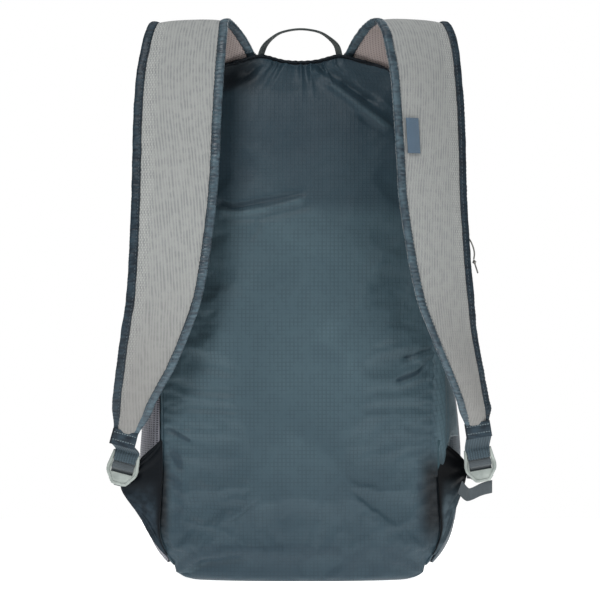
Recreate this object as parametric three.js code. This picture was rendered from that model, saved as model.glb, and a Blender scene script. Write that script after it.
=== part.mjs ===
// A light packable hiking daypack, filled out and standing on its base.
// Millimetres, +Z up. The harness side looks along -Y, and +X is on the right as that side is seen.
// The origin is the middle of the flat base.
import * as THREE from "three";

// The bag
const bagHeight = 481;
const bagHalfWidth = 145;
const backDepth = 69;
const frontDepth = 82;
const baseFlatWidth = 0.7;
const baseFlatDepth = 0.88;
const clothWall = 1.4;
const seamGap = 0.4;
const seamInset = 1.3;
const topInset = 2.6;
const rimGap = 1.2;
const backBelly = 19;
const frontBelly = 20;
const bellyStart = { back: 0.32, front: 0.3 };
const bellyPower = { back: 0.7, front: 0.6 };
const sidePower = 0.75;

// The gathered top edge and its thin binding
const hemPeakLift = 6;
const hemPeakWidth = 17;
const hemPeakFrom = 0.93;
const hemHalfLength = 62;
const hemBindingWidth = 5;
const hemBindingWall = 1.6;
const hemBindingLift = 1.6;
const gatherLift = 1.2;
const gatherPitch = 26;
const gatherReach = 26;

// Folds pushed into the back panel
const foldLift = 3.2;
const foldWidth = 9;

// Side pockets of stretch mesh, lying flat and empty
const pocketTop = 204;
const pocketFoot = 20;
const pocketWall = 1.1;
const pocketLift = 1.3;
const pocketHemHeight = 9;
const pocketHemWall = 1.7;
const pocketEdge = 0.03;

// The zip over the top, from one side to the other
const zipEndHeight = 300;
const zipWidth = 20;
const zipWall = 1.3;
const zipLift = 1.1;
const sliderLength = 12;
const sliderWidth = 9;
const sliderHeight = 4;
const sliderAbove = 25;

// Shoulder straps
const strapWidth = 82;
const strapThickness = 6;
const strapCrown = 3;
const strapSpread = 162;
const strapOut = 35;
const strapStand = backDepth + strapOut;
const strapTop = 518.5;
const strapRootInner = 42;
const strapRootOuter = 106;
const strapRootLift = 4.2;
const strapRootBehind = 9;
const bindingWidth = 9.5;
const bindingThickness = 7;
const bindingGap = 1.35;
const strapRootPlace = 0.08;
const strapFoldPlace = 0.12;
const strapCrownPlace = 0.3;

// Strap ends, webbing and buckles
const tabLength = 11;
const tabThickness = 3.6;
const tabWidth = 24;
const tabDrop = 2.0;
const tabForward = 0.5;
const tabTurn = { left: -15, right: 9 };
const webbingWidth = 19;
const webbingWall = 1.3;
const buckleWidth = 30;
const buckleHeight = 31;
const bucklePlate = 3.2;
const buckleBar = 3.4;
const buckleSlotWidth = 21;
const buckleSlots = { strap: 8.8, webbing: 4.6 };
const buckleDrop = { left: 34, right: 39 };
const buckleTurn = { left: -15, right: 10 };
const buckleBehind = 13;
const buckleStand = backDepth - buckleBehind;
const buckleSplay = 0.09;
const adjusterFoot = { left: 17, right: 12 };
const anchorBelow = 4;
const tailWidth = 12;

// Wings that carry the webbing down to the bag's sides
const wingTop = 131;
const wingFoot = 24;
const wingReach = 38;
const wingWall = 1.4;
const wingStandOff = 1.9;
const wingApex = { left: 0.59, right: 0.74 };
const wingTurn = { left: [6, 6], right: [22, 62] };

// Grab loop
const loopHalfSpan = 37;
const loopRise = 23;
const loopWidth = 10;
const loopFootWidth = 6.2;
const loopWall = 1.3;

// Side label on the right strap
const labelWidth = 14;
const labelLength = 32;
const labelWall = 1.1;
const labelHeight = 410;

// Cord on the zip's slider
const cordDiameter = 1.4;
const knotDiameter = 3.6;
const knotTail = 9;

// One row of a table for each list of numbers, with the columns named
function table(names, rows) {
  return rows.map((row) => Object.fromEntries(names.map((name, k) => [name, row[k]])));
}

// The smooth value of a column at a place between the rows, which rise in their first column, at
function smooth(rows, name, at) {
  let next = 1;
  while (next < rows.length - 1 && rows[next].at < at) {
    next += 1;
  }
  const before = rows[next - 1];
  const after = rows[next];
  const span = after.at - before.at;
  const u = THREE.MathUtils.clamp((at - before.at) / span, 0, 1);
  const slope = (k) => {
    const left = rows[Math.max(k - 1, 0)];
    const right = rows[Math.min(k + 1, rows.length - 1)];
    return (right[name] - left[name]) / (right.at - left.at);
  };
  const first = slope(next - 1) * span;
  const second = slope(next) * span;
  const bent = (2 * u ** 3 - 3 * u ** 2 + 1) * before[name] + (3 * u ** 2 - 2 * u ** 3) * after[name];
  return bent + (u ** 3 - 2 * u ** 2 + u) * first + (u ** 3 - u ** 2) * second;
}

// The place between low and high up to which a test holds
function lastPlace(low, high, holds) {
  for (let k = 0; k < 30; k += 1) {
    const middle = (low + high) / 2;
    if (holds(middle)) {
      low = middle;
    } else {
      high = middle;
    }
  }
  return (low + high) / 2;
}

// The bag's seams from its rim up the side to the middle of the top: the back seam and the front seam of the
// side cloth, and how far that cloth bulges. Shares of the half width, the two depths and the height.
const seams = table(
  ["at", "backX", "backY", "backZ", "frontX", "frontY", "frontZ", "bulge"],
  [
    [0.0, 0.807, 0.52, 0.0291, 0.72, 0.51, 0.0291, 0.04],
    [0.03, 0.872, 0.63, 0.064, 0.79, 0.63, 0.064, 0.075],
    [0.06, 0.9, 0.68, 0.098, 0.82, 0.69, 0.098, 0.105],
    [0.1, 0.892, 0.71, 0.145, 0.835, 0.74, 0.145, 0.135],
    [0.17, 0.878, 0.73, 0.229, 0.835, 0.77, 0.229, 0.142],
    [0.235, 0.88, 0.74, 0.303, 0.838, 0.78, 0.303, 0.12],
    [0.3, 0.883, 0.74, 0.378, 0.84, 0.78, 0.378, 0.092],
    [0.4, 0.883, 0.73, 0.5, 0.84, 0.775, 0.495, 0.092],
    [0.52, 0.878, 0.705, 0.645, 0.828, 0.755, 0.635, 0.1],
    [0.63, 0.866, 0.675, 0.775, 0.8, 0.7, 0.758, 0.098],
    [0.71, 0.838, 0.645, 0.868, 0.74, 0.62, 0.842, 0.092],
    [0.77, 0.78, 0.625, 0.928, 0.64, 0.5, 0.893, 0.085],
    [0.82, 0.685, 0.61, 0.966, 0.52, 0.42, 0.922, 0.072],
    [0.86, 0.57, 0.605, 0.987, 0.4, 0.37, 0.936, 0.06],
    [0.9, 0.428, 0.6, 1.0, 0.29, 0.35, 0.943, 0.045],
    [1.0, 0.0, 0.6, 1.0, 0.0, 0.345, 0.948, 0.036],
  ],
);
const hemPlace = 0.9;
const sideTopPlace = 0.7;
const rowStep = 0.025;
const rimPlace = 0.0008;

// Folds of the back panel: from one point to another, in shares of the half width and of the height, with
// their width and their lift as shares of the named ones. A lift below zero is a furrow.
const folds = table(
  ["fromX", "fromZ", "toX", "toZ", "width", "lift"],
  [
    [0.1, 0.985, 0.62, 0.85, 1.0, 1.0],
    [0.2, 0.988, 0.62, 0.885, 0.8, -0.9],
    [-0.02, 0.965, 0.32, 0.895, 0.8, 0.6],
    [-0.52, 0.725, -0.28, 0.712, 1.0, 0.9],
    [-0.28, 0.712, 0.12, 0.747, 1.1, 0.8],
    [0.64, 0.43, 0.85, 0.45, 0.7, 0.8],
    [0.6, 0.392, 0.82, 0.432, 0.8, 0.9],
    [0.52, 0.36, 0.84, 0.4, 0.9, -0.7],
    [-0.86, 0.314, -0.7, 0.306, 0.6, 0.7],
    [-0.86, 0.27, -0.68, 0.262, 0.6, 0.7],
    [-0.78, 0.07, -0.4, 0.062, 0.9, 0.9],
    [-0.4, 0.062, 0.0, 0.05, 0.9, 0.6],
    [0.2, 0.036, 0.42, 0.066, 0.8, 0.7],
    [0.5, 0.06, 0.76, 0.05, 0.9, 0.8],
    [0.56, 0.23, 0.84, 0.2, 0.7, 0.6],
  ],
);

function hemLift(x, z) {
  const peak = Math.exp(-(((Math.abs(x) - loopHalfSpan) / hemPeakWidth) ** 2));
  return hemPeakLift * peak * THREE.MathUtils.smoothstep(z / bagHeight, hemPeakFrom, 1);
}

function backSeam(at, side) {
  const x = smooth(seams, "backX", at) * bagHalfWidth * side;
  const z = smooth(seams, "backZ", at) * bagHeight;
  return new THREE.Vector3(x, -smooth(seams, "backY", at) * backDepth, z + hemLift(x, z));
}

function frontSeam(at, side) {
  const x = smooth(seams, "frontX", at) * bagHalfWidth * side;
  const z = smooth(seams, "frontZ", at) * bagHeight;
  return new THREE.Vector3(x, smooth(seams, "frontY", at) * frontDepth, z);
}

// The place along the seams where the back or front seam is at a height
function placeAtHeight(column, height) {
  return lastPlace(0, hemPlace, (at) => smooth(seams, column, at) * bagHeight < height);
}

// Side and top cloth: across goes from the back seam, 0, to the front seam, 1
function gusset(at, across, side) {
  const step = 0.004;
  const back = backSeam(at, side);
  const front = frontSeam(at, side);
  const before = backSeam(at - step, side).add(frontSeam(at - step, side));
  const after = backSeam(Math.min(at + step, 1), side).add(frontSeam(Math.min(at + step, 1), side));
  const outward = new THREE.Vector3().crossVectors(after.sub(before), front.clone().sub(back)).normalize();
  outward.multiplyScalar(-side);
  const bulge = smooth(seams, "bulge", at) * bagHalfWidth;
  const arch = Math.sin(Math.PI * THREE.MathUtils.clamp(across, 0, 1)) ** sidePower;
  return back.lerp(front, across).addScaledVector(outward, bulge * arch);
}

// The same cloth as one strip over the whole top: along runs from the left end, -1, to the right end, 1
function gussetOverTop(along, across) {
  return gusset(1 - Math.abs(along), across, along < 0 ? -1 : 1);
}

function foldHeight(x, z) {
  let height = 0;
  for (const fold of folds) {
    const from = new THREE.Vector2(fold.fromX * bagHalfWidth, fold.fromZ * bagHeight);
    const to = new THREE.Vector2(fold.toX * bagHalfWidth, fold.toZ * bagHeight);
    const run = to.clone().sub(from);
    const place = new THREE.Vector2(x, z).sub(from);
    const share = THREE.MathUtils.clamp(place.dot(run) / run.lengthSq(), 0, 1);
    const away = place.sub(run.multiplyScalar(share)).length() / (foldWidth * fold.width);
    height += foldLift * fold.lift * Math.exp(-(away ** 2));
  }
  const down = (bagHeight - z) / gatherReach;
  return height + gatherLift * Math.cos((2 * Math.PI * x) / gatherPitch) * Math.exp(-(down ** 2));
}

// How far a panel bellies out at a place, from nothing at the hem and at its two seams
function belly(face, across, up) {
  const start = bellyStart[face];
  const rise = Math.sin(Math.PI * (start + (1 - start) * Math.min(up, 1))) ** bellyPower[face];
  return (1 - Math.abs(across) ** 3) * rise;
}

// Back panel: across runs from the left seam, -1, to the right seam, 1, and up from the rim, 0, to the hem, 1
function backPanel(across, up) {
  const at = up * hemPlace;
  const edge = backSeam(at, 1);
  const x = across * edge.x;
  const level = smooth(seams, "backZ", at) * bagHeight;
  const z = level + hemLift(x, level);
  const calm = (1 - across ** 8) * THREE.MathUtils.smoothstep(up, 0, 0.04);
  const still = THREE.MathUtils.smoothstep(1 - up, -0.01, 0.02);
  const folded = foldHeight(x, z) * calm * still;
  return new THREE.Vector3(x, edge.y - backBelly * belly("back", across, up) - folded, z);
}

function frontPanel(across, up) {
  const at = up * hemPlace;
  const edge = frontSeam(at, 1);
  const top = smooth(seams, "frontZ", 1) * bagHeight - edge.z;
  const crown = top * THREE.MathUtils.smoothstep(up, 0.9, 1) * (1 - across ** 2);
  return new THREE.Vector3(across * edge.x, edge.y + frontBelly * belly("front", across, up), edge.z + crown);
}

// The bag's rim, round the base: turn runs once round a square from its back left corner
function rim(turn) {
  const corner = Math.floor(turn) % 4;
  const part = turn - Math.floor(turn);
  if (corner === 0) {
    return backPanel(2 * part - 1, 0);
  }
  if (corner === 1) {
    return gusset(0, part, 1);
  }
  if (corner === 2) {
    return frontPanel(1 - 2 * part, 0);
  }
  return gusset(0, 1 - part, -1);
}

// Base: a and b run from -1 to 1 over a square that is stretched over it, flat in its middle
function base(a, b) {
  const out = Math.max(Math.abs(a), Math.abs(b), 1e-6);
  let turn;
  if (-b >= Math.abs(a)) {
    turn = (a / out + 1) / 2;
  } else if (a >= Math.abs(b)) {
    turn = 1 + (b / out + 1) / 2;
  } else if (b >= Math.abs(a)) {
    turn = 2 + (1 - a / out) / 2;
  } else {
    turn = 3 + (1 - b / out) / 2;
  }
  const edge = rim(Math.min(turn, 3.999999));
  const raised = Math.max(0, (out - baseFlatWidth) / (1 - baseFlatWidth));
  const flatDepth = (Math.min(out, baseFlatWidth) / baseFlatWidth) * baseFlatDepth;
  const deep = flatDepth + raised * (1 - baseFlatDepth);
  const height = (edge.z - rimGap) * (1 - Math.sqrt(1 - Math.min(raised, 1) ** 2));
  return new THREE.Vector3(edge.x * out, edge.y * deep, height);
}

// One closed sheet of cloth: columns by rows of the surface that place gives for u and v from 0 to 1, from
// the lift low to the lift high along its normal
function cloth(place, columns, rows, low, high) {
  const step = 0.002;
  const positions = [];
  const wide = columns + 1;
  const count = wide * (rows + 1);
  const lifts = [high, low];
  for (const lift of lifts) {
    for (let j = 0; j <= rows; j += 1) {
      for (let i = 0; i <= columns; i += 1) {
        const u = i / columns;
        const v = j / rows;
        const acrossU = place(u + step, v).sub(place(u - step, v));
        const acrossV = place(u, v + step).sub(place(u, v - step));
        const normal = acrossU.cross(acrossV).normalize();
        const point = place(u, v).addScaledVector(normal, lift);
        positions.push(point.x, point.y, point.z);
      }
    }
  }
  const faces = [];
  const quad = (a, b, c, d) => faces.push(a, b, c, a, c, d);
  for (let j = 0; j < rows; j += 1) {
    for (let i = 0; i < columns; i += 1) {
      const a = j * wide + i;
      quad(a, a + 1, a + wide + 1, a + wide);
      quad(count + a, count + a + wide, count + a + wide + 1, count + a + 1);
    }
  }
  for (let i = 0; i < columns; i += 1) {
    const top = rows * wide + i;
    quad(i + 1, i, count + i, count + i + 1);
    quad(top, top + 1, count + top + 1, count + top);
  }
  for (let j = 0; j < rows; j += 1) {
    const left = j * wide;
    const right = left + columns;
    quad(left, left + wide, count + left + wide, count + left);
    quad(right + wide, right, count + right, count + right + wide);
  }
  const geometry = new THREE.BufferGeometry();
  geometry.setAttribute("position", new THREE.Float32BufferAttribute(positions, 3));
  geometry.setIndex(faces);
  geometry.computeVertexNormals();
  return geometry;
}

const group = new THREE.Group();

function finish(colour, roughness) {
  return new THREE.MeshStandardMaterial({ color: colour, roughness, metalness: 0 });
}

const bodyCloth = finish("#445860", 0.55);
const trimCloth = finish("#3a4a56", 0.6);
const wingCloth = finish("#2a3038", 0.7);
const spacerMesh = finish("#a6a9a8", 0.85);
const pocketMesh = finish("#7d7f8b", 0.85);
const webbing = finish("#475259", 0.8);
const plastic = finish("#b5bcb8", 0.45);
const labelCloth = finish("#5a7390", 0.8);
const cordFinish = finish("#8e8e8a", 0.8);

function add(name, geometry, material, parent = group) {
  const mesh = new THREE.Mesh(geometry, material.clone());
  mesh.name = name;
  parent.add(mesh);
  return mesh;
}

// Bag panels
const halfGap = seamGap / 2;

function addBackPanel() {
  const edge = 1 - halfGap / backSeam(0.5, 1).x;
  const low = rimPlace / hemPlace;
  const rows = Math.round(hemPlace / rowStep);
  const place = (u, v) => backPanel((2 * u - 1) * edge, low + (1 - low) * v);
  add("back_panel", cloth(place, 18, rows, -clothWall, 0), bodyCloth);
}

function addFrontPanel() {
  const edge = 1 - halfGap / frontSeam(0.5, 1).x;
  const low = rimPlace / hemPlace;
  const rows = Math.round(hemPlace / rowStep);
  const place = (u, v) => frontPanel((1 - 2 * u) * edge, low + (1 - low) * v);
  add("front_panel", cloth(place, 6, rows, -clothWall, 0), bodyCloth);
}

function addSidePanel(name, side) {
  const margin = seamInset / (backDepth + frontDepth);
  const rows = Math.round(sideTopPlace / rowStep);
  const high = sideTopPlace - halfGap / bagHeight;
  const place = (u, v) => {
    const across = margin + (1 - 2 * margin) * (side > 0 ? u : 1 - u);
    return gusset(rimPlace + (high - rimPlace) * v, across, side);
  };
  add(name, cloth(place, 6, rows, -clothWall, 0), bodyCloth);
}

function addTopPanel() {
  const margin = topInset / (backDepth + frontDepth);
  const reach = 1 - sideTopPlace - halfGap / bagHeight;
  const place = (u, v) => gussetOverTop((2 * u - 1) * reach, margin + (1 - 2 * margin) * v);
  const columns = 2 * Math.round((1 - sideTopPlace) / rowStep);
  add("top_panel", cloth(place, columns, 5, -clothWall, 0), bodyCloth);
}

function addBase() {
  add("base_panel", cloth((u, v) => base(2 * u - 1, 1 - 2 * v), 12, 12, -clothWall, 0), bodyCloth);
}

// The thin binding along the hem: it covers the seam between the back panel and the top cloth
function addTopHem() {
  const place = (u, v) => {
    const x = (2 * u - 1) * hemHalfLength;
    const level = bagHeight;
    const z = level + hemLift(x, level);
    const y = -smooth(seams, "backY", 1) * backDepth;
    return new THREE.Vector3(x, y + (v - 0.5) * hemBindingWidth, z + hemBindingLift);
  };
  add("top_hem", cloth(place, 24, 1, 0, hemBindingWall), trimCloth);
}

// Mesh pockets over the lower sides
function pocketSurface(side, u, height) {
  const at = placeAtHeight("backZ", height);
  return gusset(at, pocketEdge + (1 - 2 * pocketEdge) * (side > 0 ? u : 1 - u), side);
}

function addPocket(name, hemName, side) {
  const hemFoot = pocketTop - pocketHemHeight;
  const mesh = (u, v) => pocketSurface(side, u, pocketFoot + (hemFoot - seamGap - pocketFoot) * v);
  const hem = (u, v) => pocketSurface(side, u, hemFoot + pocketHemHeight * v);
  add(name, cloth(mesh, 6, 12, pocketLift, pocketLift + pocketWall), pocketMesh);
  add(hemName, cloth(hem, 6, 1, pocketLift, pocketLift + pocketHemWall), trimCloth);
}

// Zip tape over the middle of the side and top cloth
function zipSurface(along, across) {
  const side = along < 0 ? -1 : 1;
  const at = 1 - Math.abs(along);
  const chord = frontSeam(at, side).sub(backSeam(at, side)).length();
  return gusset(at, 0.5 + ((across - 0.5) * zipWidth) / chord, side);
}

function addZip() {
  const reach = 1 - placeAtHeight("backZ", zipEndHeight);
  const place = (u, v) => zipSurface((2 * u - 1) * reach, v);
  add("main_zip", cloth(place, 40, 1, zipLift, zipLift + zipWall), trimCloth);
}

function addSlider() {
  const middle = sliderPlace();
  const length = sliderLength / 2;
  const outline = new THREE.Shape();
  outline.moveTo(-sliderWidth / 3, -length);
  outline.lineTo(sliderWidth / 3, -length);
  outline.lineTo(sliderWidth / 2, length);
  outline.lineTo(-sliderWidth / 2, length);
  const geometry = new THREE.ExtrudeGeometry(outline, { depth: sliderHeight, bevelEnabled: false });
  const frame = new THREE.Matrix4().makeBasis(
    new THREE.Vector3(0, 1, 0),
    new THREE.Vector3(0, 0, 1),
    new THREE.Vector3(1, 0, 0),
  );
  geometry.applyMatrix4(frame);
  const mesh = add("zip_slider", geometry, plastic);
  mesh.position.set(middle.x + zipLift + zipWall + seamGap, middle.y, middle.z);
}

// Straps: their middle line and how it turns, from the root on the bag's top, over the fold, to the end tab.
// x in shares of the spread, y of the stand off the back, z of the top's height, width of the strap's own,
// turn and lean in degrees. Both straps are cut alike, and each hangs in its own way.
const strapCut = table(
  ["at", "width"],
  [
    [0.0, 0.8],
    [0.06, 0.87],
    [0.12, 0.9],
    [0.171, 0.955],
    [0.232, 0.99],
    [0.31, 1.0],
    [0.42, 0.99],
    [0.505, 0.97],
    [0.64, 0.91],
    [0.72, 0.86],
    [0.777, 0.8],
    [0.855, 0.68],
    [0.927, 0.51],
    [0.963, 0.43],
    [1.0, 0.36],
  ],
);

const strapColumns = ["at", "x", "y", "z", "turn", "lean"];
const strapHang = {
  left: table(strapColumns, [
    [0.0, 0.457, 0.42, 0.925, 0, 16],
    [0.04, 0.5, 0.44, 0.952, 0, 13],
    [0.08, 0.57, 0.52, 0.982, 1, 8],
    [0.12, 0.626, 0.63, 0.998, 3, 2],
    [0.16, 0.648, 0.75, 0.976, 5, 0],
    [0.19, 0.66, 0.82, 0.95, 6, 0],
    [0.25, 0.678, 0.89, 0.901, 6, 0],
    [0.33, 0.692, 0.93, 0.83, 6, 0],
    [0.42, 0.7, 0.96, 0.752, 6, 0],
    [0.505, 0.71, 0.975, 0.681, 6, 0],
    [0.64, 0.741, 0.98, 0.568, 7, 0],
    [0.72, 0.771, 0.955, 0.5, 8, 0],
    [0.777, 0.812, 0.91, 0.452, 8, 0],
    [0.855, 0.872, 0.82, 0.387, 8, 0],
    [0.927, 0.94, 0.71, 0.327, 6, 2],
    [0.963, 0.966, 0.65, 0.297, 4, 9],
    [1.0, 0.996, 0.6, 0.268, 2, 16],
  ]),
  right: table(strapColumns, [
    [0.0, 0.457, 0.42, 0.925, 0, 16],
    [0.04, 0.5, 0.44, 0.952, 4, 13],
    [0.08, 0.57, 0.54, 0.982, 12, 8],
    [0.12, 0.634, 0.66, 0.998, 20, 1],
    [0.16, 0.672, 0.79, 0.978, 27, 0],
    [0.19, 0.69, 0.86, 0.952, 30, 0],
    [0.25, 0.712, 0.94, 0.901, 35, 0],
    [0.33, 0.728, 0.99, 0.83, 36, 0],
    [0.42, 0.739, 1.02, 0.752, 37, 0],
    [0.505, 0.749, 1.03, 0.681, 37, 0],
    [0.64, 0.788, 1.02, 0.568, 39, 0],
    [0.72, 0.823, 0.99, 0.5, 41, 0],
    [0.777, 0.859, 0.94, 0.452, 46, 0],
    [0.855, 0.922, 0.84, 0.387, 48, 0],
    [0.927, 0.977, 0.73, 0.33, 42, 1],
    [0.963, 0.999, 0.67, 0.305, 30, 5],
    [1.0, 1.01, 0.62, 0.284, 14, 9],
  ]),
};

// The highest line of the bag's top at a distance from its middle, where the strap roots are sewn
function shoulder(x, side) {
  const at = lastPlace(sideTopPlace, 1, (place) => Math.abs(backSeam(place, side).x) > x);
  const chord = frontSeam(at, side).sub(backSeam(at, side)).length();
  const seat = gusset(at, strapRootBehind / chord, side);
  seat.z += strapRootLift;
  return seat;
}

// The strap's middle surface: aside is the distance from its middle line, outwards, and at runs down it
function strapSurface(side, aside, at) {
  const rows = side < 0 ? strapHang.left : strapHang.right;
  const place = THREE.MathUtils.clamp(at, 0, 1);
  const turn = THREE.MathUtils.degToRad(smooth(rows, "turn", place));
  const lean = THREE.MathUtils.degToRad(smooth(rows, "lean", place));
  const outwards = new THREE.Vector3(
    side * Math.cos(turn) * Math.cos(lean),
    Math.sin(turn),
    -Math.sin(lean),
  );
  if (place > 0.5) {
    outwards.z = Math.sin(lean);
  }
  const width = smooth(strapCut, "width", place) * strapWidth;
  const middle = new THREE.Vector3(
    side * smooth(rows, "x", place) * strapSpread,
    -smooth(rows, "y", place) * strapStand,
    smooth(rows, "z", place) * strapTop,
  );
  const share = (2 * aside) / width;
  const crowned = THREE.MathUtils.smoothstep(place, strapFoldPlace, strapCrownPlace);
  middle.y -= strapCrown * (1 - share ** 2) * crowned;
  const point = middle.addScaledVector(outwards, aside);
  const rootShare = (1 + share) / 2;
  const seat = shoulder(THREE.MathUtils.lerp(strapRootInner, strapRootOuter, rootShare), side);
  const fade = 1 - THREE.MathUtils.smoothstep(at, 0, strapRootPlace);
  return point.lerp(seat, fade);
}

function strapHalfWidth(at) {
  return (smooth(strapCut, "width", THREE.MathUtils.clamp(at, 0, 1)) * strapWidth) / 2;
}

function addStrap(word, side) {
  const rows = 26;
  const padEdge = (at) => strapHalfWidth(at) - bindingWidth - bindingGap;
  const pad = (u, v) => strapSurface(side, (2 * u - 1) * padEdge(v) * side, v);
  add(`strap_pad_${word}`, cloth(pad, 4, rows, -strapThickness / 2, strapThickness / 2), spacerMesh);
  for (const [edge, sign] of [["inner", -1], ["outer", 1]]) {
    const binding = (u, v) => {
      const inside = strapHalfWidth(v) - bindingWidth;
      const aside = sign * (inside + bindingWidth * (sign * side > 0 ? u : 1 - u));
      return strapSurface(side, aside, v);
    };
    const half = bindingThickness / 2;
    add(`strap_binding_${edge}_${word}`, cloth(binding, 1, rows, -half, half), trimCloth);
  }
}

// The buckle's own axes: u across, v up, w towards the one who looks at the harness
function buckleFrame(word, side) {
  const end = strapSurface(side, 0, 1);
  const turn = THREE.MathUtils.degToRad(buckleTurn[word]);
  const down = new THREE.Vector3(side * buckleSplay, 0, -1).normalize();
  const middle = end.clone().addScaledVector(down, buckleDrop[word]);
  middle.y = -buckleStand;
  const across = new THREE.Vector3(Math.cos(turn), 0, Math.sin(turn));
  const up = new THREE.Vector3(-Math.sin(turn), 0, Math.cos(turn));
  return { middle, across, up, out: new THREE.Vector3(0, -1, 0), end };
}

function onBuckle(frame, u, v, w) {
  return frame.middle
    .clone()
    .addScaledVector(frame.across, u)
    .addScaledVector(frame.up, v)
    .addScaledVector(frame.out, w);
}

// A band of webbing through stations, each with its middle and the direction across it
function band(stations, width, rows) {
  const line = new THREE.CatmullRomCurve3(stations.map((station) => station.middle));
  const acrossLine = new THREE.CatmullRomCurve3(stations.map((station) => station.across));
  return cloth(
    (u, v) => {
      const place = THREE.MathUtils.clamp(v, 0, 1);
      const past = v - place;
      const point = line.getPoint(place).addScaledVector(line.getTangent(place), past * line.getLength());
      return point.addScaledVector(acrossLine.getPoint(place), (u - 0.5) * width);
    },
    1,
    rows,
    -webbingWall / 2,
    webbingWall / 2,
  );
}

// How the strap's short webbing runs over the buckle's top bar: its height above the foot of that bar in bar
// heights, and how far it is in front of the buckle in clearances
const strapLoop = table(
  ["rise", "out"],
  [
    [1.44, 1.0],
    [0.18, 1.12],
    [-0.44, 0.0],
    [0.18, -1.12],
    [1.88, -1.12],
  ],
);

function addStrapEnd(word, side) {
  const frame = buckleFrame(word, side);
  const lean = THREE.MathUtils.degToRad(tabTurn[word]);
  const across = new THREE.Vector3(Math.cos(lean), 0, Math.sin(lean));
  const down = new THREE.Vector3(-Math.sin(lean), 0, Math.cos(lean)).negate();
  const tabTop = frame.end.clone().addScaledVector(down, tabDrop);
  tabTop.y -= tabForward;
  const tab = (u, v) =>
    tabTop
      .clone()
      .addScaledVector(across, (u - 0.5) * tabWidth)
      .addScaledVector(down, (1 - v) * tabLength);
  add(`strap_end_${word}`, cloth(tab, 2, 3, -tabThickness / 2, tabThickness / 2), trimCloth);

  const barFoot = buckleHeight / 2 - buckleBar;
  const clear = bucklePlate / 2 + webbingWall / 2 + seamGap;
  const tabFoot = tabTop.clone().addScaledVector(down, tabLength + seamGap + webbingWall / 2);
  const loop = strapLoop.map(({ rise, out }) => ({
    middle: onBuckle(frame, 0, barFoot + rise * buckleBar, out * clear),
    across: frame.across,
  }));
  loop.unshift({ middle: tabFoot, across });
  add(`end_webbing_${word}`, band(loop, webbingWidth, 14), webbing);
}

// The two slots of a buckle, from low to high along its own v
function slots() {
  const strapHigh = buckleHeight / 2 - buckleBar;
  const strapLow = strapHigh - buckleSlots.strap;
  const webbingHigh = strapLow - buckleBar;
  return { strapSlot: [strapLow, strapHigh], webbingSlot: [webbingHigh - buckleSlots.webbing, webbingHigh] };
}

// The right half of a buckle's outline, from its foot up, in shares of its width and height
const buckleCut = table(
  ["across", "up"],
  [
    [0.23, -0.5],
    [0.47, -0.16],
    [0.5, 0.0],
    [0.42, 0.5],
  ],
);

function addBuckle(word, side) {
  const frame = buckleFrame(word, side);
  const right = buckleCut.map(({ across, up }) => new THREE.Vector2(across * buckleWidth, up * buckleHeight));
  const left = right.map((corner) => new THREE.Vector2(-corner.x, corner.y)).reverse();
  const outline = new THREE.Shape([...right, ...left]);
  const slotHalf = buckleSlotWidth / 2;
  const { strapSlot, webbingSlot } = slots();
  for (const [low, high] of [strapSlot, webbingSlot]) {
    const slot = new THREE.Path();
    slot.moveTo(-slotHalf, low);
    slot.lineTo(-slotHalf, high);
    slot.lineTo(slotHalf, high);
    slot.lineTo(slotHalf, low);
    outline.holes.push(slot);
  }
  const geometry = new THREE.ExtrudeGeometry(outline, { depth: bucklePlate, bevelEnabled: false });
  geometry.translate(0, 0, -bucklePlate / 2);
  geometry.applyMatrix4(new THREE.Matrix4().makeBasis(frame.across, frame.up, frame.out));
  const mesh = add(`ladderlock_${word}`, geometry, plastic);
  mesh.position.copy(frame.middle);
}

// The webbing that comes up behind the buckle, over its middle bar and down behind it again
function addAdjuster(word, side) {
  const frame = buckleFrame(word, side);
  const { strapSlot, webbingSlot } = slots();
  const bar = (strapSlot[0] + webbingSlot[1]) / 2;
  const round = buckleBar / 2 + webbingWall / 2 + 1.5 * seamGap;
  const inner = bucklePlate / 2 + webbingWall / 2 + 1.25 * seamGap;
  const outer = inner + webbingWall + seamGap;
  const foot = -adjusterFoot[word];
  const route = [
    [foot, -outer],
    [foot / 2, -outer],
    [bar, -outer],
    [bar + round, -inner],
    [bar + 1.1 * round, 0],
    [bar + 0.7 * round, 0.8 * round],
    [bar, round],
    [bar - 0.7 * round, 0.8 * round],
    [bar - round, 0],
    [webbingSlot[0] + webbingWall, -0.7 * inner],
    [webbingSlot[0] - 2 * webbingWall, -inner],
    [-0.4 * buckleHeight, -inner],
  ];
  const stations = route.map(([v, w]) => ({ middle: onBuckle(frame, 0, v, w), across: frame.across }));
  add(`adjuster_${word}`, band(stations, webbingWidth, 26), webbing);
}

// Wings: how far they reach from the seam, at shares of their height that put the apex in the middle
const wingCut = table(
  ["at", "reach"],
  [
    [0.0, 0.05],
    [0.25, 0.42],
    [0.44, 0.9],
    [0.5, 1.0],
    [0.58, 0.97],
    [0.8, 0.56],
    [1.0, 0.05],
  ],
);

function wingSurface(word, side, out, up) {
  const apex = wingApex[word];
  const at = up < apex ? (0.5 * up) / apex : 0.5 + (0.5 * (up - apex)) / (1 - apex);
  const reach = smooth(wingCut, "reach", THREE.MathUtils.clamp(at, 0, 1)) * wingReach * out;
  const seam = backSeam(placeAtHeight("backZ", wingFoot + (wingTop - wingFoot) * up), side);
  const [near, far] = wingTurn[word];
  const turn = THREE.MathUtils.degToRad(near + ((far - near) * reach) / (2 * wingReach));
  seam.x += side * (seamGap + reach * Math.cos(turn));
  seam.y += reach * Math.sin(turn) - wingStandOff;
  return seam;
}

function addWing(word, side) {
  const place = (u, v) => wingSurface(word, side, side > 0 ? u : 1 - u, v);
  add(`wing_${word}`, cloth(place, 2, 10, -wingWall / 2, wingWall / 2), wingCloth);
}

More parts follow.
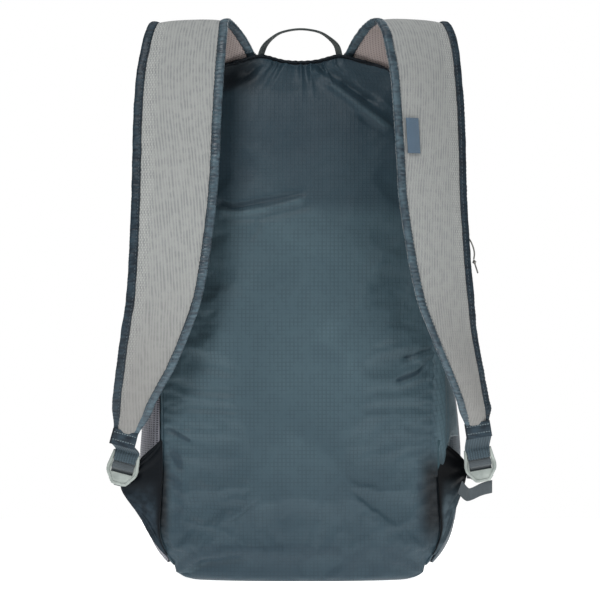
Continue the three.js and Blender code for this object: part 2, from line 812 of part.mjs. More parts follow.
// The folded loose end of the right webbing, from behind the buckle's foot, in shares of its width
const tailFold = table(
  ["x", "y", "z", "slant"],
  [
    [0.71, 0.17, -0.4, 0.0],
    [-0.08, 0.03, -0.6, 0.05],
    [-0.96, 0.02, -1.0, 0.1],
    [-1.3, 0.29, -0.97, 0.25],
    [-1.75, 0.67, -0.47, 0.35],
  ],
);

// The right webbing stands on edge between its wing and the buckle, and its loose end is folded back
function addRightWebbing() {
  const frame = buckleFrame("right", 1);
  const upright = new THREE.Vector3(0, 0, 1);
  const rear = bucklePlate / 2 + 2.5 * webbingWall + 4.5 * seamGap;
  const end = onBuckle(frame, 0, -anchorBelow, -rear);
  const start = wingSurface("right", 1, 1, wingApex.right);
  start.x += seamGap;
  start.z = end.z;
  const run = [start, start.clone().lerp(end, 0.5), end].map((middle) => ({ middle, across: upright }));
  add("anchor_webbing_right", band(run, webbingWidth, 4), webbing);

  const foot = onBuckle(frame, 0, -buckleHeight / 2, 0);
  const tail = tailFold.map(({ x, y, z, slant }) => ({
    middle: foot.clone().addScaledVector(new THREE.Vector3(x, y, z), tailWidth),
    across: new THREE.Vector3(slant, 0, 1).normalize(),
  }));
  add("adjuster_tail_right", band(tail, tailWidth, 12), webbing);
}

// Grab loop: its feet face the harness side and its middle lies flat
function addGrabLoop() {
  const foot = bagHeight + hemLift(loopHalfSpan, bagHeight) + hemBindingLift + hemBindingWall + seamGap;
  const y = -smooth(seams, "backY", 1) * backDepth;
  const stations = table(
    ["span", "rise", "turn"],
    [
      [-1.0, 0.02, 30],
      [-0.9, 0.3, 55],
      [-0.72, 0.62, 75],
      [-0.45, 0.88, 86],
      [0.0, 1.0, 90],
      [0.45, 0.9, 94],
      [0.72, 0.66, 105],
      [0.92, 0.33, 125],
      [1.0, 0.02, 150],
    ],
  ).map((row) => {
    const turn = THREE.MathUtils.degToRad(row.turn);
    return {
      middle: new THREE.Vector3(row.span * loopHalfSpan, y, foot + row.rise * loopRise),
      across: new THREE.Vector3(Math.cos(turn), Math.sin(turn), 0),
    };
  });
  const line = new THREE.CatmullRomCurve3(stations.map((station) => station.middle));
  const acrossLine = new THREE.CatmullRomCurve3(stations.map((station) => station.across));
  const place = (u, v) => {
    const at = THREE.MathUtils.clamp(v, 0, 1);
    const width = THREE.MathUtils.lerp(loopFootWidth, loopWidth, Math.sin(Math.PI * at));
    const point = line.getPoint(at).addScaledVector(line.getTangent(at), (v - at) * line.getLength());
    return point.addScaledVector(acrossLine.getPoint(at), (u - 0.5) * width);
  };
  add("grab_loop", cloth(place, 1, 20, -loopWall / 2, loopWall / 2), trimCloth);
}

// The place along the right strap, below its fold, where its middle line is at a height
function strapPlace(height) {
  const above = (at) => smooth(strapHang.right, "z", at) * strapTop > height;
  return lastPlace(strapFoldPlace, 1, above);
}

function addLabel() {
  const place = (u, v) => {
    const at = strapPlace(labelHeight + labelLength * (0.5 - v));
    const edge = bindingWidth + bindingGap - strapHalfWidth(at);
    return strapSurface(1, edge + labelWidth * u, at);
  };
  const low = strapThickness / 2 + seamGap;
  add("side_label", cloth(place, 1, 3, -low - labelWall, -low), labelCloth);
}

// The cord leaves the slider outwards and hangs down to its knot
const cordRoute = [
  [0.0, 0.0, 0.0],
  [2.2, -0.4, 0.6],
  [4.6, -1.0, 1.3],
  [7.0, -1.7, 1.6],
  [9.4, -2.4, 1.2],
  [11.6, -3.1, 0.0],
  [13.5, -3.7, -1.8],
  [15.2, -4.2, -4.0],
  [16.7, -4.6, -6.5],
  [17.9, -4.9, -9.2],
  [18.9, -5.1, -12.0],
  [19.6, -5.2, -14.9],
  [19.9, -5.3, -17.8],
  [19.7, -5.3, -20.6],
  [19.2, -5.3, -23.2],
];

function sliderPlace() {
  return gusset(placeAtHeight("backZ", zipEndHeight + sliderAbove), 0.5, 1);
}

function addCord() {
  const start = sliderPlace();
  start.x += zipLift + zipWall + 2 * seamGap + sliderHeight;
  const points = cordRoute.map(([x, y, z]) => start.clone().add(new THREE.Vector3(x, y, z)));
  const section = new THREE.Shape();
  section.absarc(0, 0, cordDiameter / 2, 0, 2 * Math.PI);
  const path = new THREE.CatmullRomCurve3(points);
  const options = { steps: 16, curveSegments: 4, extrudePath: path, bevelEnabled: false };
  add("pull_cord", new THREE.ExtrudeGeometry(section, options), cordFinish);

  const end = points[points.length - 1];
  const radius = knotDiameter / 2;
  const tail = cordDiameter / knotDiameter;
  const profile = table(
    ["across", "along"],
    [
      [0.0, 0.0],
      [0.6, 0.1],
      [1.0, 0.7],
      [1.0, 1.4],
      [0.6, 2.0],
      [tail, 2.3],
      [tail, 2.3 + knotTail / radius],
      [0.0, 2.3 + knotTail / radius],
    ],
  ).map((row) => new THREE.Vector2(row.across * radius, row.along * radius));
  const knot = add("cord_knot", new THREE.LatheGeometry(profile, 8), cordFinish);
  knot.position.copy(end).add(new THREE.Vector3(0, 0, -seamGap));
  knot.quaternion.setFromUnitVectors(new THREE.Vector3(0, 1, 0), new THREE.Vector3(0.32, 0, -1).normalize());
}

addBackPanel();
addFrontPanel();
addSidePanel("side_panel_left", -1);
addSidePanel("side_panel_right", 1);
addTopPanel();
addBase();
addTopHem();
addPocket("mesh_pocket_left", "pocket_hem_left", -1);
addPocket("mesh_pocket_right", "pocket_hem_right", 1);
addZip();
addSlider();
for (const [word, side] of [["left", -1], ["right", 1]]) {
  addStrap(word, side);
  addStrapEnd(word, side);
  addBuckle(word, side);
  addAdjuster(word, side);
  addWing(word, side);
}
addRightWebbing();
addGrabLoop();
addLabel();
addCord();

export default group;
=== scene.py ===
# %% [markdown]
# A light packable daypack, seen from its harness side. It is a bag of thin ripstop nylon with a zip over
# its top, mesh pockets on its sides, and two shoulder straps of spacer mesh bound with folded nylon tape.
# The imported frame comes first: it gives the size and place of every piece, and nothing is fitted
# afterwards.

# %% The frame
import functools
import math

import bmesh
import bpy
from mathutils import Matrix, Vector, noise


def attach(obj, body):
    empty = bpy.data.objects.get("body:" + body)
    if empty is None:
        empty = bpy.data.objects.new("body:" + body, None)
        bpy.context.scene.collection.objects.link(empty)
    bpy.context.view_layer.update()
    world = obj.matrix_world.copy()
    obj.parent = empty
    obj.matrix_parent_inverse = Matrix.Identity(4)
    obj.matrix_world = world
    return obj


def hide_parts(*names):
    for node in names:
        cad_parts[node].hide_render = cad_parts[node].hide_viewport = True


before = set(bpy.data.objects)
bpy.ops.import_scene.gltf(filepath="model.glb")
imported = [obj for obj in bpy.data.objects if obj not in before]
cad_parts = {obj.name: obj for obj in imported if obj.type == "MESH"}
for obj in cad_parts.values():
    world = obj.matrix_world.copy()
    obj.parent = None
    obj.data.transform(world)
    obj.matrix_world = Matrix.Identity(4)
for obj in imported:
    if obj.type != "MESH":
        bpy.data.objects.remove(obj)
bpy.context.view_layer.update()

print("pieces in the frame:", len(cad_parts))

# %% [markdown]
# The camera stands level with the middle of the bag and far away, as a catalogue photographer's does, so
# that the near straps and the far side keep nearly the same scale. The lens follows from how much it
# takes in.

# %% Camera
HARNESS_PLANE = -0.080
CAMERA_AWAY = 3.0
CAMERA_HEIGHT = 0.2613
VIEW_WIDTH = 0.552
SENSOR_MM = 36.0

camera_data = bpy.data.cameras.new("camera")
camera_data.sensor_width = SENSOR_MM
camera_data.lens = SENSOR_MM * CAMERA_AWAY / VIEW_WIDTH
camera = bpy.data.objects.new("camera", camera_data)
camera.location = (0.0, HARNESS_PLANE - CAMERA_AWAY, CAMERA_HEIGHT)
camera.rotation_euler = (math.radians(90), 0.0, 0.0)
bpy.context.collection.objects.link(camera)
bpy.context.scene.camera = camera
print("lens in millimetres:", round(camera_data.lens, 1))

# %% [markdown]
# Shader maths is easier to read as sums than as nodes. A wire is one output of a node, and a sum written
# on it adds the Math node that does it.

# %% Wires and finishes
MM = 0.001


class Wire:
    """An output of a node, on which sums can be written."""

    def __init__(self, finish, socket):
        self.finish = finish
        self.socket = socket

    def maths(self, operation, *others):
        return self.finish.node("ShaderNodeMath", {"operation": operation}, (self, *others))

    def __add__(self, other):
        return self.maths("ADD", other)

    __radd__ = __add__

    def __mul__(self, other):
        return self.maths("MULTIPLY", other)

    __rmul__ = __mul__

    def __sub__(self, other):
        return self.maths("SUBTRACT", other)

    def __rsub__(self, other):
        return (self * -1.0).maths("ADD", other)

    def __truediv__(self, other):
        return self.maths("DIVIDE", other)

    def __pow__(self, other):
        return self.maths("POWER", other)

    def __abs__(self):
        return self.maths("ABSOLUTE")

    def fraction(self):
        return self.maths("FRACT")

    def sine(self):
        return self.maths("SINE")

    def clamped(self):
        return self.maths("MINIMUM", 1.0).maths("MAXIMUM", 0.0)

    def ramp(self, low, high):
        """0 up to low, 1 from high on, smooth in between."""
        values = {"Value": self, "From Min": low, "From Max": high}
        return self.finish.node("ShaderNodeMapRange", {"interpolation_type": "SMOOTHSTEP"}, values)


def linear(code):
    """The scene-linear colour of a screen colour such as 445860."""
    parts = [int(code[k : k + 2], 16) / 255 for k in (0, 2, 4)]
    return [c / 12.92 if c <= 0.04045 else ((c + 0.055) / 1.055) ** 2.4 for c in parts] + [1.0]


class Finish:
    """A material with a Principled shader. Its constants are set on the shader's own sockets."""

    def __init__(self, name, **constants):
        self.material = bpy.data.materials.new(name)
        self.material.use_nodes = True
        self.tree = self.material.node_tree
        self.shader = self.tree.nodes["Principled BSDF"]
        for key, value in constants.items():
            self.shader.inputs[key.replace("_", " ")].default_value = value

    def node(self, kind, settings=None, values=(), output=0):
        """Any node: its settings are set first, then its sockets, by place or by name."""
        added = self.tree.nodes.new(kind)
        for key, value in (settings or {}).items():
            setattr(added, key, value)
        pairs = values.items() if isinstance(values, dict) else enumerate(values)
        for key, value in pairs:
            self.plug(added.inputs[key], value)
        return Wire(self, added.outputs[output])

    def plug(self, socket, value):
        if isinstance(value, Wire):
            self.tree.links.new(value.socket, socket)
        else:
            socket.default_value = value

    def parts(self, place):
        """The x, y and z of a vector, as three wires."""
        split = self.node("ShaderNodeSeparateXYZ", {}, (place,)).socket.node
        return [Wire(self, split.outputs[k]) for k in range(3)]

    def lengths(self, uv="weave"):
        """How far across and along the piece a point is, as two wires, and both in one."""
        place = self.node("ShaderNodeUVMap", {"uv_map": uv})
        across, along, _ = self.parts(place)
        return across, along, place

    def spot(self):
        """Where a point is in Object coordinates, in metres."""
        return self.parts(self.node("ShaderNodeTexCoord", output=3))

    def mix(self, share, first, second):
        """A colour between two colours. The sockets are the colour ones of the Mix node."""
        added = self.tree.nodes.new("ShaderNodeMix")
        added.data_type = "RGBA"
        self.plug(added.inputs[0], share)
        self.plug(added.inputs[6], first)
        self.plug(added.inputs[7], second)
        return Wire(self, added.outputs[2])

    def clouds(self, size, detail=2.0, place=None):
        """Soft noise from 0 to 1 whose lumps are about that size, on Object coordinates unless told."""
        place = place or self.node("ShaderNodeTexCoord", output=3)
        return self.node("ShaderNodeTexNoise", {}, {"Vector": place, "Scale": 1 / size, "Detail": detail})

    def wear(self, colour=None, roughness=None, height=None, depth=0.0002, alpha=None):
        """Joins the finished wires to the shader. height, from 0 to 1, is raised by depth."""
        if colour is not None:
            self.plug(self.shader.inputs["Base Color"], colour)
        if roughness is not None:
            self.plug(self.shader.inputs["Roughness"], roughness)
        if alpha is not None:
            self.plug(self.shader.inputs["Alpha"], alpha)
        if height is not None:
            bump = self.node("ShaderNodeBump", {}, {"Strength": 1.0, "Distance": depth, "Height": height})
            self.plug(self.shader.inputs["Normal"], bump)
        print("finish:", self.material.name)
        return self.material


# %% [markdown]
# Ripstop nylon is a thin plain weave with a thicker pair of threads every few millimetres each way. The
# pairs take the dye deeper, so they show as a fine dark grid. The pattern follows the cloth's own
# lengths, which every sheet below keeps as its UV map, so the grid bends with the folds. Thin nylon has a
# silky sheen.

# %% Ripstop nylon
RIPSTOP_PITCH = 3.7 * MM
RIPSTOP_LINE = 0.75 * MM
THREAD_PITCH = 0.5 * MM
TOP_SHADE_HEIGHT = 0.36
TOP_SHADE_BLUR = 0.012


def grid_line(length, pitch, width):
    """1 on the lines that lie a pitch apart, and 0 a width away from them."""
    away = abs((length / pitch).fraction() - 0.5) * pitch
    return 1 - (away / width).clamped()


def painted_shade(y, z, patches):
    """Painted shade, from 0 to 1: darker towards the top on the harness side, and low down all round."""
    top = (z + patches * 0.03).ramp(TOP_SHADE_HEIGHT - TOP_SHADE_BLUR, TOP_SHADE_HEIGHT + TOP_SHADE_BLUR) * 0.55
    return (top + z.ramp(0.37, 0.46) * 0.35) * y.ramp(0.02, -0.04) + z.ramp(0.22, 0.0) * 0.62


def seam_shade(x, z):
    """The deep shade beside the lower side seams and in the upper left corner."""
    near_seam = x.ramp(0.106, 0.122).maths("MAXIMUM", x.ramp(-0.118, -0.127))
    by_seams = near_seam * abs(x).ramp(0.137, 0.130) * z.ramp(0.128, 0.098) * z.ramp(0.02, 0.06)
    corner = x.ramp(-0.028, -0.05) * z.ramp(0.447, 0.468)
    return by_seams.maths("MAXIMUM", corner * 0.8) * 0.95


def ripstop(name, light, dark, line, sheen):
    finish = Finish(name, Sheen_Weight=sheen, Sheen_Roughness=0.35, Specular_IOR_Level=0.32)
    across, along, _ = finish.lengths()
    x, y, z = finish.spot()
    patches = finish.clouds(55 * MM, 3.0)
    broken = finish.clouds(9 * MM, 2.0)
    raised = finish.node("ShaderNodeAttribute", {"attribute_name": "lift"}, output=2)
    # Painted shade and highlight: the lift makes the cloth darker in the furrows of its folds and lighter on
    # their ridges.
    fold_shade_and_highlight = (raised * -1).ramp(0.5 * MM, 2.8 * MM) * 1.25 - raised.ramp(0.8 * MM, 3.0 * MM) * 0.5
    # Painted shade: the cloth is drawn darker towards the top on the harness side and low down; the patches
    # are its own uneven tone.
    tone_and_shade = (patches * 0.6 + 0.4 - painted_shade(y, z, patches) - fold_shade_and_highlight).clamped()
    ground = finish.mix(tone_and_shade, linear(dark), linear(light))
    ground = finish.mix(seam_shade(x, z), ground, linear("070c11"))
    uprights = grid_line(across, RIPSTOP_PITCH, RIPSTOP_LINE)
    lines = uprights.maths("MAXIMUM", grid_line(along, RIPSTOP_PITCH, RIPSTOP_LINE) * 0.85)
    strength = lines * (0.3 + 0.7 * broken.ramp(0.35, 0.6))
    colour = finish.mix(strength * 0.38, ground, linear(line))
    waves = 2 * math.pi / THREAD_PITCH
    threads = (across * waves).sine() * (along * waves).sine()
    return finish.wear(colour, 0.42 + 0.12 * broken, lines * 0.7 + threads * 0.15, 0.12 * MM)


body_cloth = ripstop("body_cloth", "4a6069", "2b3f4a", "1a2831", 0.06)

# %% [markdown]
# The bindings are cut from the same nylon on the bias and folded, so they show no grid, only short
# creases across them where the tape is pulled round the strap's edge. Their ridges catch the light, and
# are painted lighter as well: a painted highlight. The inner bindings take a copy of the tape painted a
# little lighter and the outer ones a copy painted darker, as painted light and shade, and both carry a
# painted shadow line along the edge beside the mesh.

# %% Folded nylon tape


def tape(name, light, dark, sheen=0.5, rolled=False, shine=0.55):
    finish = Finish(name, Sheen_Weight=sheen, Sheen_Roughness=0.3, Specular_IOR_Level=shine)
    place = finish.lengths()[2]
    stretched = finish.node("ShaderNodeMapping", {}, {"Vector": place, "Scale": (0.35, 1.0, 1.0)})
    creases = finish.clouds(2.6 * MM, 3.0, stretched)
    patches = finish.clouds(16 * MM)
    # Painted highlight: the colour is lighter on the raised parts of the creases; the patches are the tape's
    # own uneven tone.
    shade = creases * 0.6 + patches * 0.4
    colour = finish.mix(shade.ramp(0.36, 0.66), linear(dark), linear(light))
    # Painted shadow: with rolled, a dark line runs along the tape's edge beside the mesh.
    if rolled:
        around = finish.lengths("share")[0]
        colour = finish.mix(abs(around - 0.5).ramp(0.16, 0.09) * 0.8, colour, linear("10181e"))
    return finish.wear(colour, 0.34 + 0.2 * patches, creases, 0.7 * MM)


trim_cloth = tape("trim_cloth", "4a5f69", "26323c")
# Painted light and shade: the inner bindings' tape is painted a little lighter and the outer bindings'
# darker.
inner_trim_lit = tape("inner_trim_lit", "4d646f", "2a3843", 0.4, True)
outer_trim_shaded = tape("outer_trim_shaded", "30414c", "18222b", 0.08, True, 0.3)
hem_cloth = tape("hem_cloth", "1a222a", "0f1419", 0.0, shine=0.15)
zip_cloth = tape("zip_cloth", "3c4e58", "31424c", 0.1, shine=0.3)


# %% [markdown]
# The wings below the straps are of the same cloth, but they hang in the bag's own shadow, which is painted
# into their colour: dark at their tops and along their seams. The left one is painted darker and the right
# one lighter below, as painted shade and light. A corner of the right one is covered by the bag's cloth, so
# it takes that colour, as that cloth looks in shade.

# %% Wing cloth
COVER_X = 0.126
COVER_Z = 0.099
COVER_SLOPE = 2.4


def shaded_cloth(name, light, dark, shadow, seam_first):
    finish = Finish(name, Specular_IOR_Level=0.12)
    across, up, _ = finish.lengths("share")
    from_seam = across if seam_first else 1 - across
    creases = finish.clouds(7 * MM, 3.0)
    ground = finish.mix(creases.ramp(0.35, 0.65), linear(dark), linear(light))
    # Painted shadow: dark at the top and along the seam.
    lit = (1 - up).ramp(0.3, 0.62) * from_seam.ramp(0.02, 0.3)
    colour = finish.mix(lit, linear(shadow), ground)
    if seam_first:
        x, y, z = finish.spot()
        above = (z - COVER_Z) - (x - COVER_X) * COVER_SLOPE
        colour = finish.mix(above.ramp(-0.6 * MM, 0.6 * MM), colour, linear("34484f"))
    return finish.wear(colour, 0.5, creases, 0.6 * MM)


# Painted light and shade: the left copy is darker overall, the right one lighter below.
wing_finish = {
    -1: shaded_cloth("wing_left", "2b3740", "1f282f", "0c1116", False),
    1: shaded_cloth("wing_right", "47545b", "333f46", "07090c", True),
}

# %% [markdown]
# Spacer mesh is a knitted cloth of two faces held apart by fine threads. Close up it is rows of small
# holes, and from further away it reads as pale ribs along the strap that break and start again. The holes
# near the outer edge let the light through; that light is painted, as a band of bright dots. The outer
# face is painted darker towards the strap's lower end: painted shade.

# %% Spacer mesh
RIB_PITCH = 2.9 * MM
HOLE_PITCH = 2.7 * MM


def spacer_mesh(name, light, dark, dot):
    finish = Finish(name, Sheen_Weight=0.15, Sheen_Roughness=0.6, Specular_IOR_Level=0.2)
    across, along, place = finish.lengths()
    drift = finish.node("ShaderNodeMapping", {}, {"Vector": place, "Scale": (1.0, 0.12, 1.0)})
    wander = finish.clouds(5 * MM, 2.0, drift)
    ribs = (across * (2 * math.pi / RIB_PITCH) + along * 260.0 + wander * 7.0).sine() * 0.5 + 0.5
    broken = finish.clouds(7 * MM, 2.0)
    across_holes = (across * (2 * math.pi / HOLE_PITCH)).sine()
    along_holes = (along * (2 * math.pi / (HOLE_PITCH * 1.7))).sine()
    holes = (across_holes * along_holes).ramp(0.25, 0.8)
    side, down, _ = finish.lengths("share")
    # Painted light: a band of bright dots near the outer edge, where light comes through the holes.
    edge = (0.5 - side).ramp(0.02, 0.06) * (0.5 - side).ramp(0.2, 0.12)
    strength = ribs * (0.35 + 0.65 * broken.ramp(0.35, 0.65))
    knit = finish.mix(strength, linear(light), linear(dark))
    outer_face = finish.mix(holes * edge * 0.75, knit, linear(dot))
    underside = finish.mix(holes, linear("b3a6a2"), linear("7f7674"))
    # Painted shade: the outer face is darker towards the strap's lower end, where less light falls.
    outer_face = finish.mix(down.ramp(0.55, 1.0) * 0.6, outer_face, linear("7b7875"))
    colour = finish.mix(side.ramp(0.5, 0.52), outer_face, underside)
    height = ribs * 0.4 - holes * 0.6
    return finish.wear(colour, 0.8, height, 0.25 * MM)


strap_mesh = spacer_mesh("strap_mesh", "a9aba9", "8e9191", "cfd1cd")

# %% [markdown]
# The side pockets are an open stretch mesh: small square holes in straight rows through which the bag's
# dark cloth shows.

# %% Pocket mesh
POCKET_HOLE_PITCH = 2.1 * MM


def pocket_net(name, thread, hole, shaded=False):
    finish = Finish(name, Sheen_Weight=0.2, Specular_IOR_Level=0.25)
    across, along, _ = finish.lengths()
    row = (across * (2 * math.pi / (POCKET_HOLE_PITCH * 2.2))).sine() * 0.5 + 0.5
    column = (along * (2 * math.pi / POCKET_HOLE_PITCH)).sine() * 0.5 + 0.5
    holes = (row * column).ramp(0.2, 0.5)
    patches = finish.clouds(25 * MM)
    colour = finish.mix(holes * (0.75 + 0.25 * patches), linear(thread), linear(hole))
    if shaded:
        from_edge = finish.lengths("share")[0]
        colour = finish.mix(from_edge.ramp(0.6, 0.3) * 0.92, colour, linear("394851"))
    return finish.wear(colour, 0.75, 1 - holes, 0.4 * MM)


pocket_mesh = {
    -1: pocket_net("pocket_mesh_left", "85868f", "2b2e36"),
    1: pocket_net("pocket_mesh_right", "85868f", "2b2e36", True),
}

# %% [markdown]
# Webbing is woven tape with ribs across it and a rolled edge. The short webbing at the strap's end has
# its ribs along it. The label is a finer tape of the same kind, left plain. Slanting threads cross the
# ribs on all of them, which also does for the cord's braid and for sewing thread.

# %% Webbing, label and cord


def webbing_tape(name, light, dark, pitch, lengthwise=False):
    finish = Finish(name, Sheen_Weight=0.3, Sheen_Roughness=0.5, Specular_IOR_Level=0.3)
    across, along, _ = finish.lengths()
    if lengthwise:
        across, along = along, across
    ribs = (along * (2 * math.pi / pitch)).sine() * 0.5 + 0.5
    threads = (across * (2 * math.pi / (pitch * 0.7)) + along * (math.pi / pitch)).sine() * 0.5 + 0.5
    patches = finish.clouds(12 * MM)
    shade = ribs * 0.5 + threads * 0.25 + patches * 0.35
    colour = finish.mix(shade.clamped(), linear(dark), linear(light))
    return finish.wear(colour, 0.7, ribs * 0.7 + threads * 0.3, 0.3 * MM)


webbing = webbing_tape("webbing", "596267", "383e42", 1.25 * MM)
strap_webbing = webbing_tape("strap_webbing", "465963", "1d2830", 2.4 * MM, True)
loop_webbing = webbing_tape("loop_webbing", "4a5452", "20262a", 1.1 * MM)
label_tape = webbing_tape("label_cloth", "6a8298", "4c6478", 0.7 * MM)
cord_braid = webbing_tape("cord", "9c9b96", "6d6b66", 0.8 * MM)
tab_thread = webbing_tape("tab_thread", "9fb2b9", "7c9098", 0.5 * MM)
stitch_thread = webbing_tape("stitch_thread", "4d5f69", "2e3c46", 0.5 * MM)

# %% [markdown]
# The ladderlocks are moulded acetal: pale grey, satin and a little cloudy, with a gloss that varies in
# patches.

# %% Moulded plastic


def moulding(name, light, dark):
    finish = Finish(name, Specular_IOR_Level=0.5)
    patches = finish.clouds(9 * MM, 3.0)
    grain = finish.clouds(0.5 * MM, 2.0)
    colour = finish.mix(patches.ramp(0.3, 0.75), linear(dark), linear(light))
    return finish.wear(colour, 0.36 + 0.16 * patches, grain, 0.03 * MM)


plastic = moulding("buckle", "adb5b0", "8f9793")
zip_plastic = moulding("zip_coil", "5b6770", "3d4850")

# %% [markdown]
# Every sheet of cloth starts as a flat grid, and each of its points is then laid on the surface that a
# short function gives. The folds are a second function, which lifts points along the cloth's own normal.
# The lift is kept as an attribute, so the cloth can carry painted shade in its furrows and a painted
# highlight on its ridges. The grid's real lengths are kept as UVs, so patterns keep their size where the
# piece narrows.

# %% Laying cloth


def lay_grid(place, columns, rows, relief=None, closed=False):
    mesh = bmesh.new()
    weave = mesh.loops.layers.uv.new("weave")
    share = mesh.loops.layers.uv.new("share")
    bmesh.ops.create_grid(mesh, x_segments=columns, y_segments=rows, size=0.5)
    mesh.verts.ensure_lookup_table()
    shares = [(vertex.co.x + 0.5, vertex.co.y + 0.5) for vertex in mesh.verts]
    for vertex, (u, v) in zip(mesh.verts, shares):
        vertex.co = place(u, v)
    lifted = mesh.verts.layers.float.new("lift")
    if relief:
        mesh.normal_update()
        outwards = -1 if closed and mesh.calc_volume(signed=True) < 0 else 1
        lifts = [relief(u, v, vertex.co) for vertex, (u, v) in zip(mesh.verts, shares)]
        for vertex, lift in zip(mesh.verts, lifts):
            vertex[lifted] = lift
            vertex.co += vertex.normal * lift * outwards
    lengths = grid_lengths(mesh, columns, rows)
    for face in mesh.faces:
        for loop in face.loops:
            loop[weave].uv = lengths[loop.vert.index]
            loop[share].uv = shares[loop.vert.index]
    return mesh


def grid_lengths(mesh, columns, rows):
    """For each point its length across, from the middle column, and along, from the first row."""
    wide = columns + 1
    middle = columns // 2
    points = [vertex.co for vertex in mesh.verts]
    lengths = [None] * len(points)
    along = 0.0
    for j in range(rows + 1):
        start = j * wide
        if j:
            along += (points[start + middle] - points[start - wide + middle]).length
        across = 0.0
        lengths[start + middle] = (0.0, along)
        for i in range(middle + 1, wide):
            across += (points[start + i] - points[start + i - 1]).length
            lengths[start + i] = (across, along)
        across = 0.0
        for i in range(middle - 1, -1, -1):
            across -= (points[start + i] - points[start + i + 1]).length
            lengths[start + i] = (across, along)
    return lengths


def make_object(name, mesh, smooth_shading=True):
    data = bpy.data.meshes.new(name)
    mesh.to_mesh(data)
    mesh.free()
    if smooth_shading:
        data.polygons.foreach_set("use_smooth", [True] * len(data.polygons))
    piece = bpy.data.objects.new(name, data)
    bpy.context.collection.objects.link(piece)
    return piece


def sheet_piece(name, place, columns, rows, wall, relief=None, inwards=True):
    piece = make_object(name, lay_grid(place, columns, rows, relief))
    solid = piece.modifiers.new("wall", "SOLIDIFY")
    solid.thickness = wall
    solid.offset = -1.0 if inwards else 0.0
    return piece


def tube_piece(name, place, columns, rows, relief=None):
    """A sheet whose two long edges meet, closed at both ends."""
    mesh = lay_grid(place, columns, rows, relief, closed=True)
    bmesh.ops.remove_doubles(mesh, verts=mesh.verts[:], dist=0.00002)
    rims = [edge for edge in mesh.edges if edge.is_boundary]
    bmesh.ops.holes_fill(mesh, edges=rims, sides=0)
    bmesh.ops.recalc_face_normals(mesh, faces=mesh.faces[:])
    return make_object(name, mesh)


def install(piece, material, slot, *nodes):
    """Gives a piece its finish, lets it move with the bag, and lets it stand for its solids."""
    piece.data.materials.clear()
    piece.data.materials.append(material)
    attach(piece, "root")
    if nodes:
        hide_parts(*nodes)
    print(f"{piece.name}: {len(piece.data.vertices)} points")
    return piece


# %% [markdown]
# Forms are kept as short tables: a row for each section, and named columns. A smooth line runs through
# the rows, so that a few sections give the whole shape.

# %% Tables and smooth lines


def table(names, rows):
    return [dict(zip(names, row)) for row in rows]


def smooth(rows, name, at):
    after = 1
    while after < len(rows) - 1 and rows[after]["at"] < at:
        after += 1
    before = after - 1
    span = rows[after]["at"] - rows[before]["at"]
    u = min(max((at - rows[before]["at"]) / span, 0.0), 1.0)

    def slope(k):
        low = rows[max(k - 1, 0)]
        high = rows[min(k + 1, len(rows) - 1)]
        return (high[name] - low[name]) / (high["at"] - low["at"])

    start = (2 * u**3 - 3 * u**2 + 1) * rows[before][name]
    end = (3 * u**2 - 2 * u**3) * rows[after][name]
    bend = (u**3 - 2 * u**2 + u) * slope(before) * span + (u**3 - u**2) * slope(after) * span
    return start + end + bend


def step(value, low, high):
    """0 up to low, 1 from high on, smooth in between."""
    u = min(max((value - low) / (high - low), 0.0), 1.0)
    return u * u * (3 - 2 * u)


def mixed(low, high, share):
    return low + (high - low) * share


HALVINGS = 30


def last_place(low, high, holds):
    """The place between low and high up to which a test holds, found by halving."""
    for _ in range(HALVINGS):
        middle = (low + high) / 2
        if holds(middle):
            low = middle
        else:
            high = middle
    return (low + high) / 2


# %% [markdown]
# The bag's panels all hang on its seams: the back seam and the front seam of the side cloth, from the rim
# at the base up the side to the middle of the top. Everything is a share of the bag's height, half width
# and depths, as in the frame.

# %% The bag's seams
BAG_HEIGHT = 0.481
BAG_HALF_WIDTH = 0.145
BACK_DEPTH = 0.069
FRONT_DEPTH = 0.082
BACK_BELLY = 0.019
FRONT_BELLY = 0.020
CLOTH_WALL = 0.0012
HEM_PEAK_LIFT = 0.006
HEM_PEAK_WIDTH = 0.017
LOOP_HALF_SPAN = 0.037
HEM_PLACE = 0.9

seams = table(
    ["at", "back_x", "back_y", "back_z", "front_x", "front_y", "front_z", "bulge"],
    [
        [0.0, 0.807, 0.52, 0.0291, 0.72, 0.51, 0.0291, 0.04],
        [0.03, 0.872, 0.63, 0.064, 0.79, 0.63, 0.064, 0.075],
        [0.06, 0.9, 0.68, 0.098, 0.82, 0.69, 0.098, 0.105],
        [0.1, 0.892, 0.71, 0.145, 0.835, 0.74, 0.145, 0.135],
        [0.17, 0.878, 0.73, 0.229, 0.835, 0.77, 0.229, 0.142],
        [0.235, 0.88, 0.74, 0.303, 0.838, 0.78, 0.303, 0.12],
        [0.3, 0.883, 0.74, 0.378, 0.84, 0.78, 0.378, 0.092],
        [0.4, 0.883, 0.73, 0.5, 0.84, 0.775, 0.495, 0.092],
        [0.52, 0.878, 0.705, 0.645, 0.828, 0.755, 0.635, 0.1],
        [0.63, 0.866, 0.675, 0.775, 0.8, 0.7, 0.758, 0.098],
        [0.71, 0.838, 0.645, 0.868, 0.74, 0.62, 0.842, 0.092],
        [0.77, 0.78, 0.625, 0.928, 0.64, 0.5, 0.893, 0.085],
        [0.82, 0.685, 0.61, 0.966, 0.52, 0.42, 0.922, 0.072],
        [0.86, 0.57, 0.605, 0.987, 0.4, 0.37, 0.936, 0.06],
        [0.9, 0.428, 0.6, 1.0, 0.29, 0.35, 0.943, 0.045],
        [1.0, 0.0, 0.6, 1.0, 0.0, 0.345, 0.948, 0.036],
    ],
)


def hem_lift(x, z):
    peak = math.exp(-(((abs(x) - LOOP_HALF_SPAN) / HEM_PEAK_WIDTH) ** 2))
    return HEM_PEAK_LIFT * peak * step(z / BAG_HEIGHT, 0.93, 1.0)


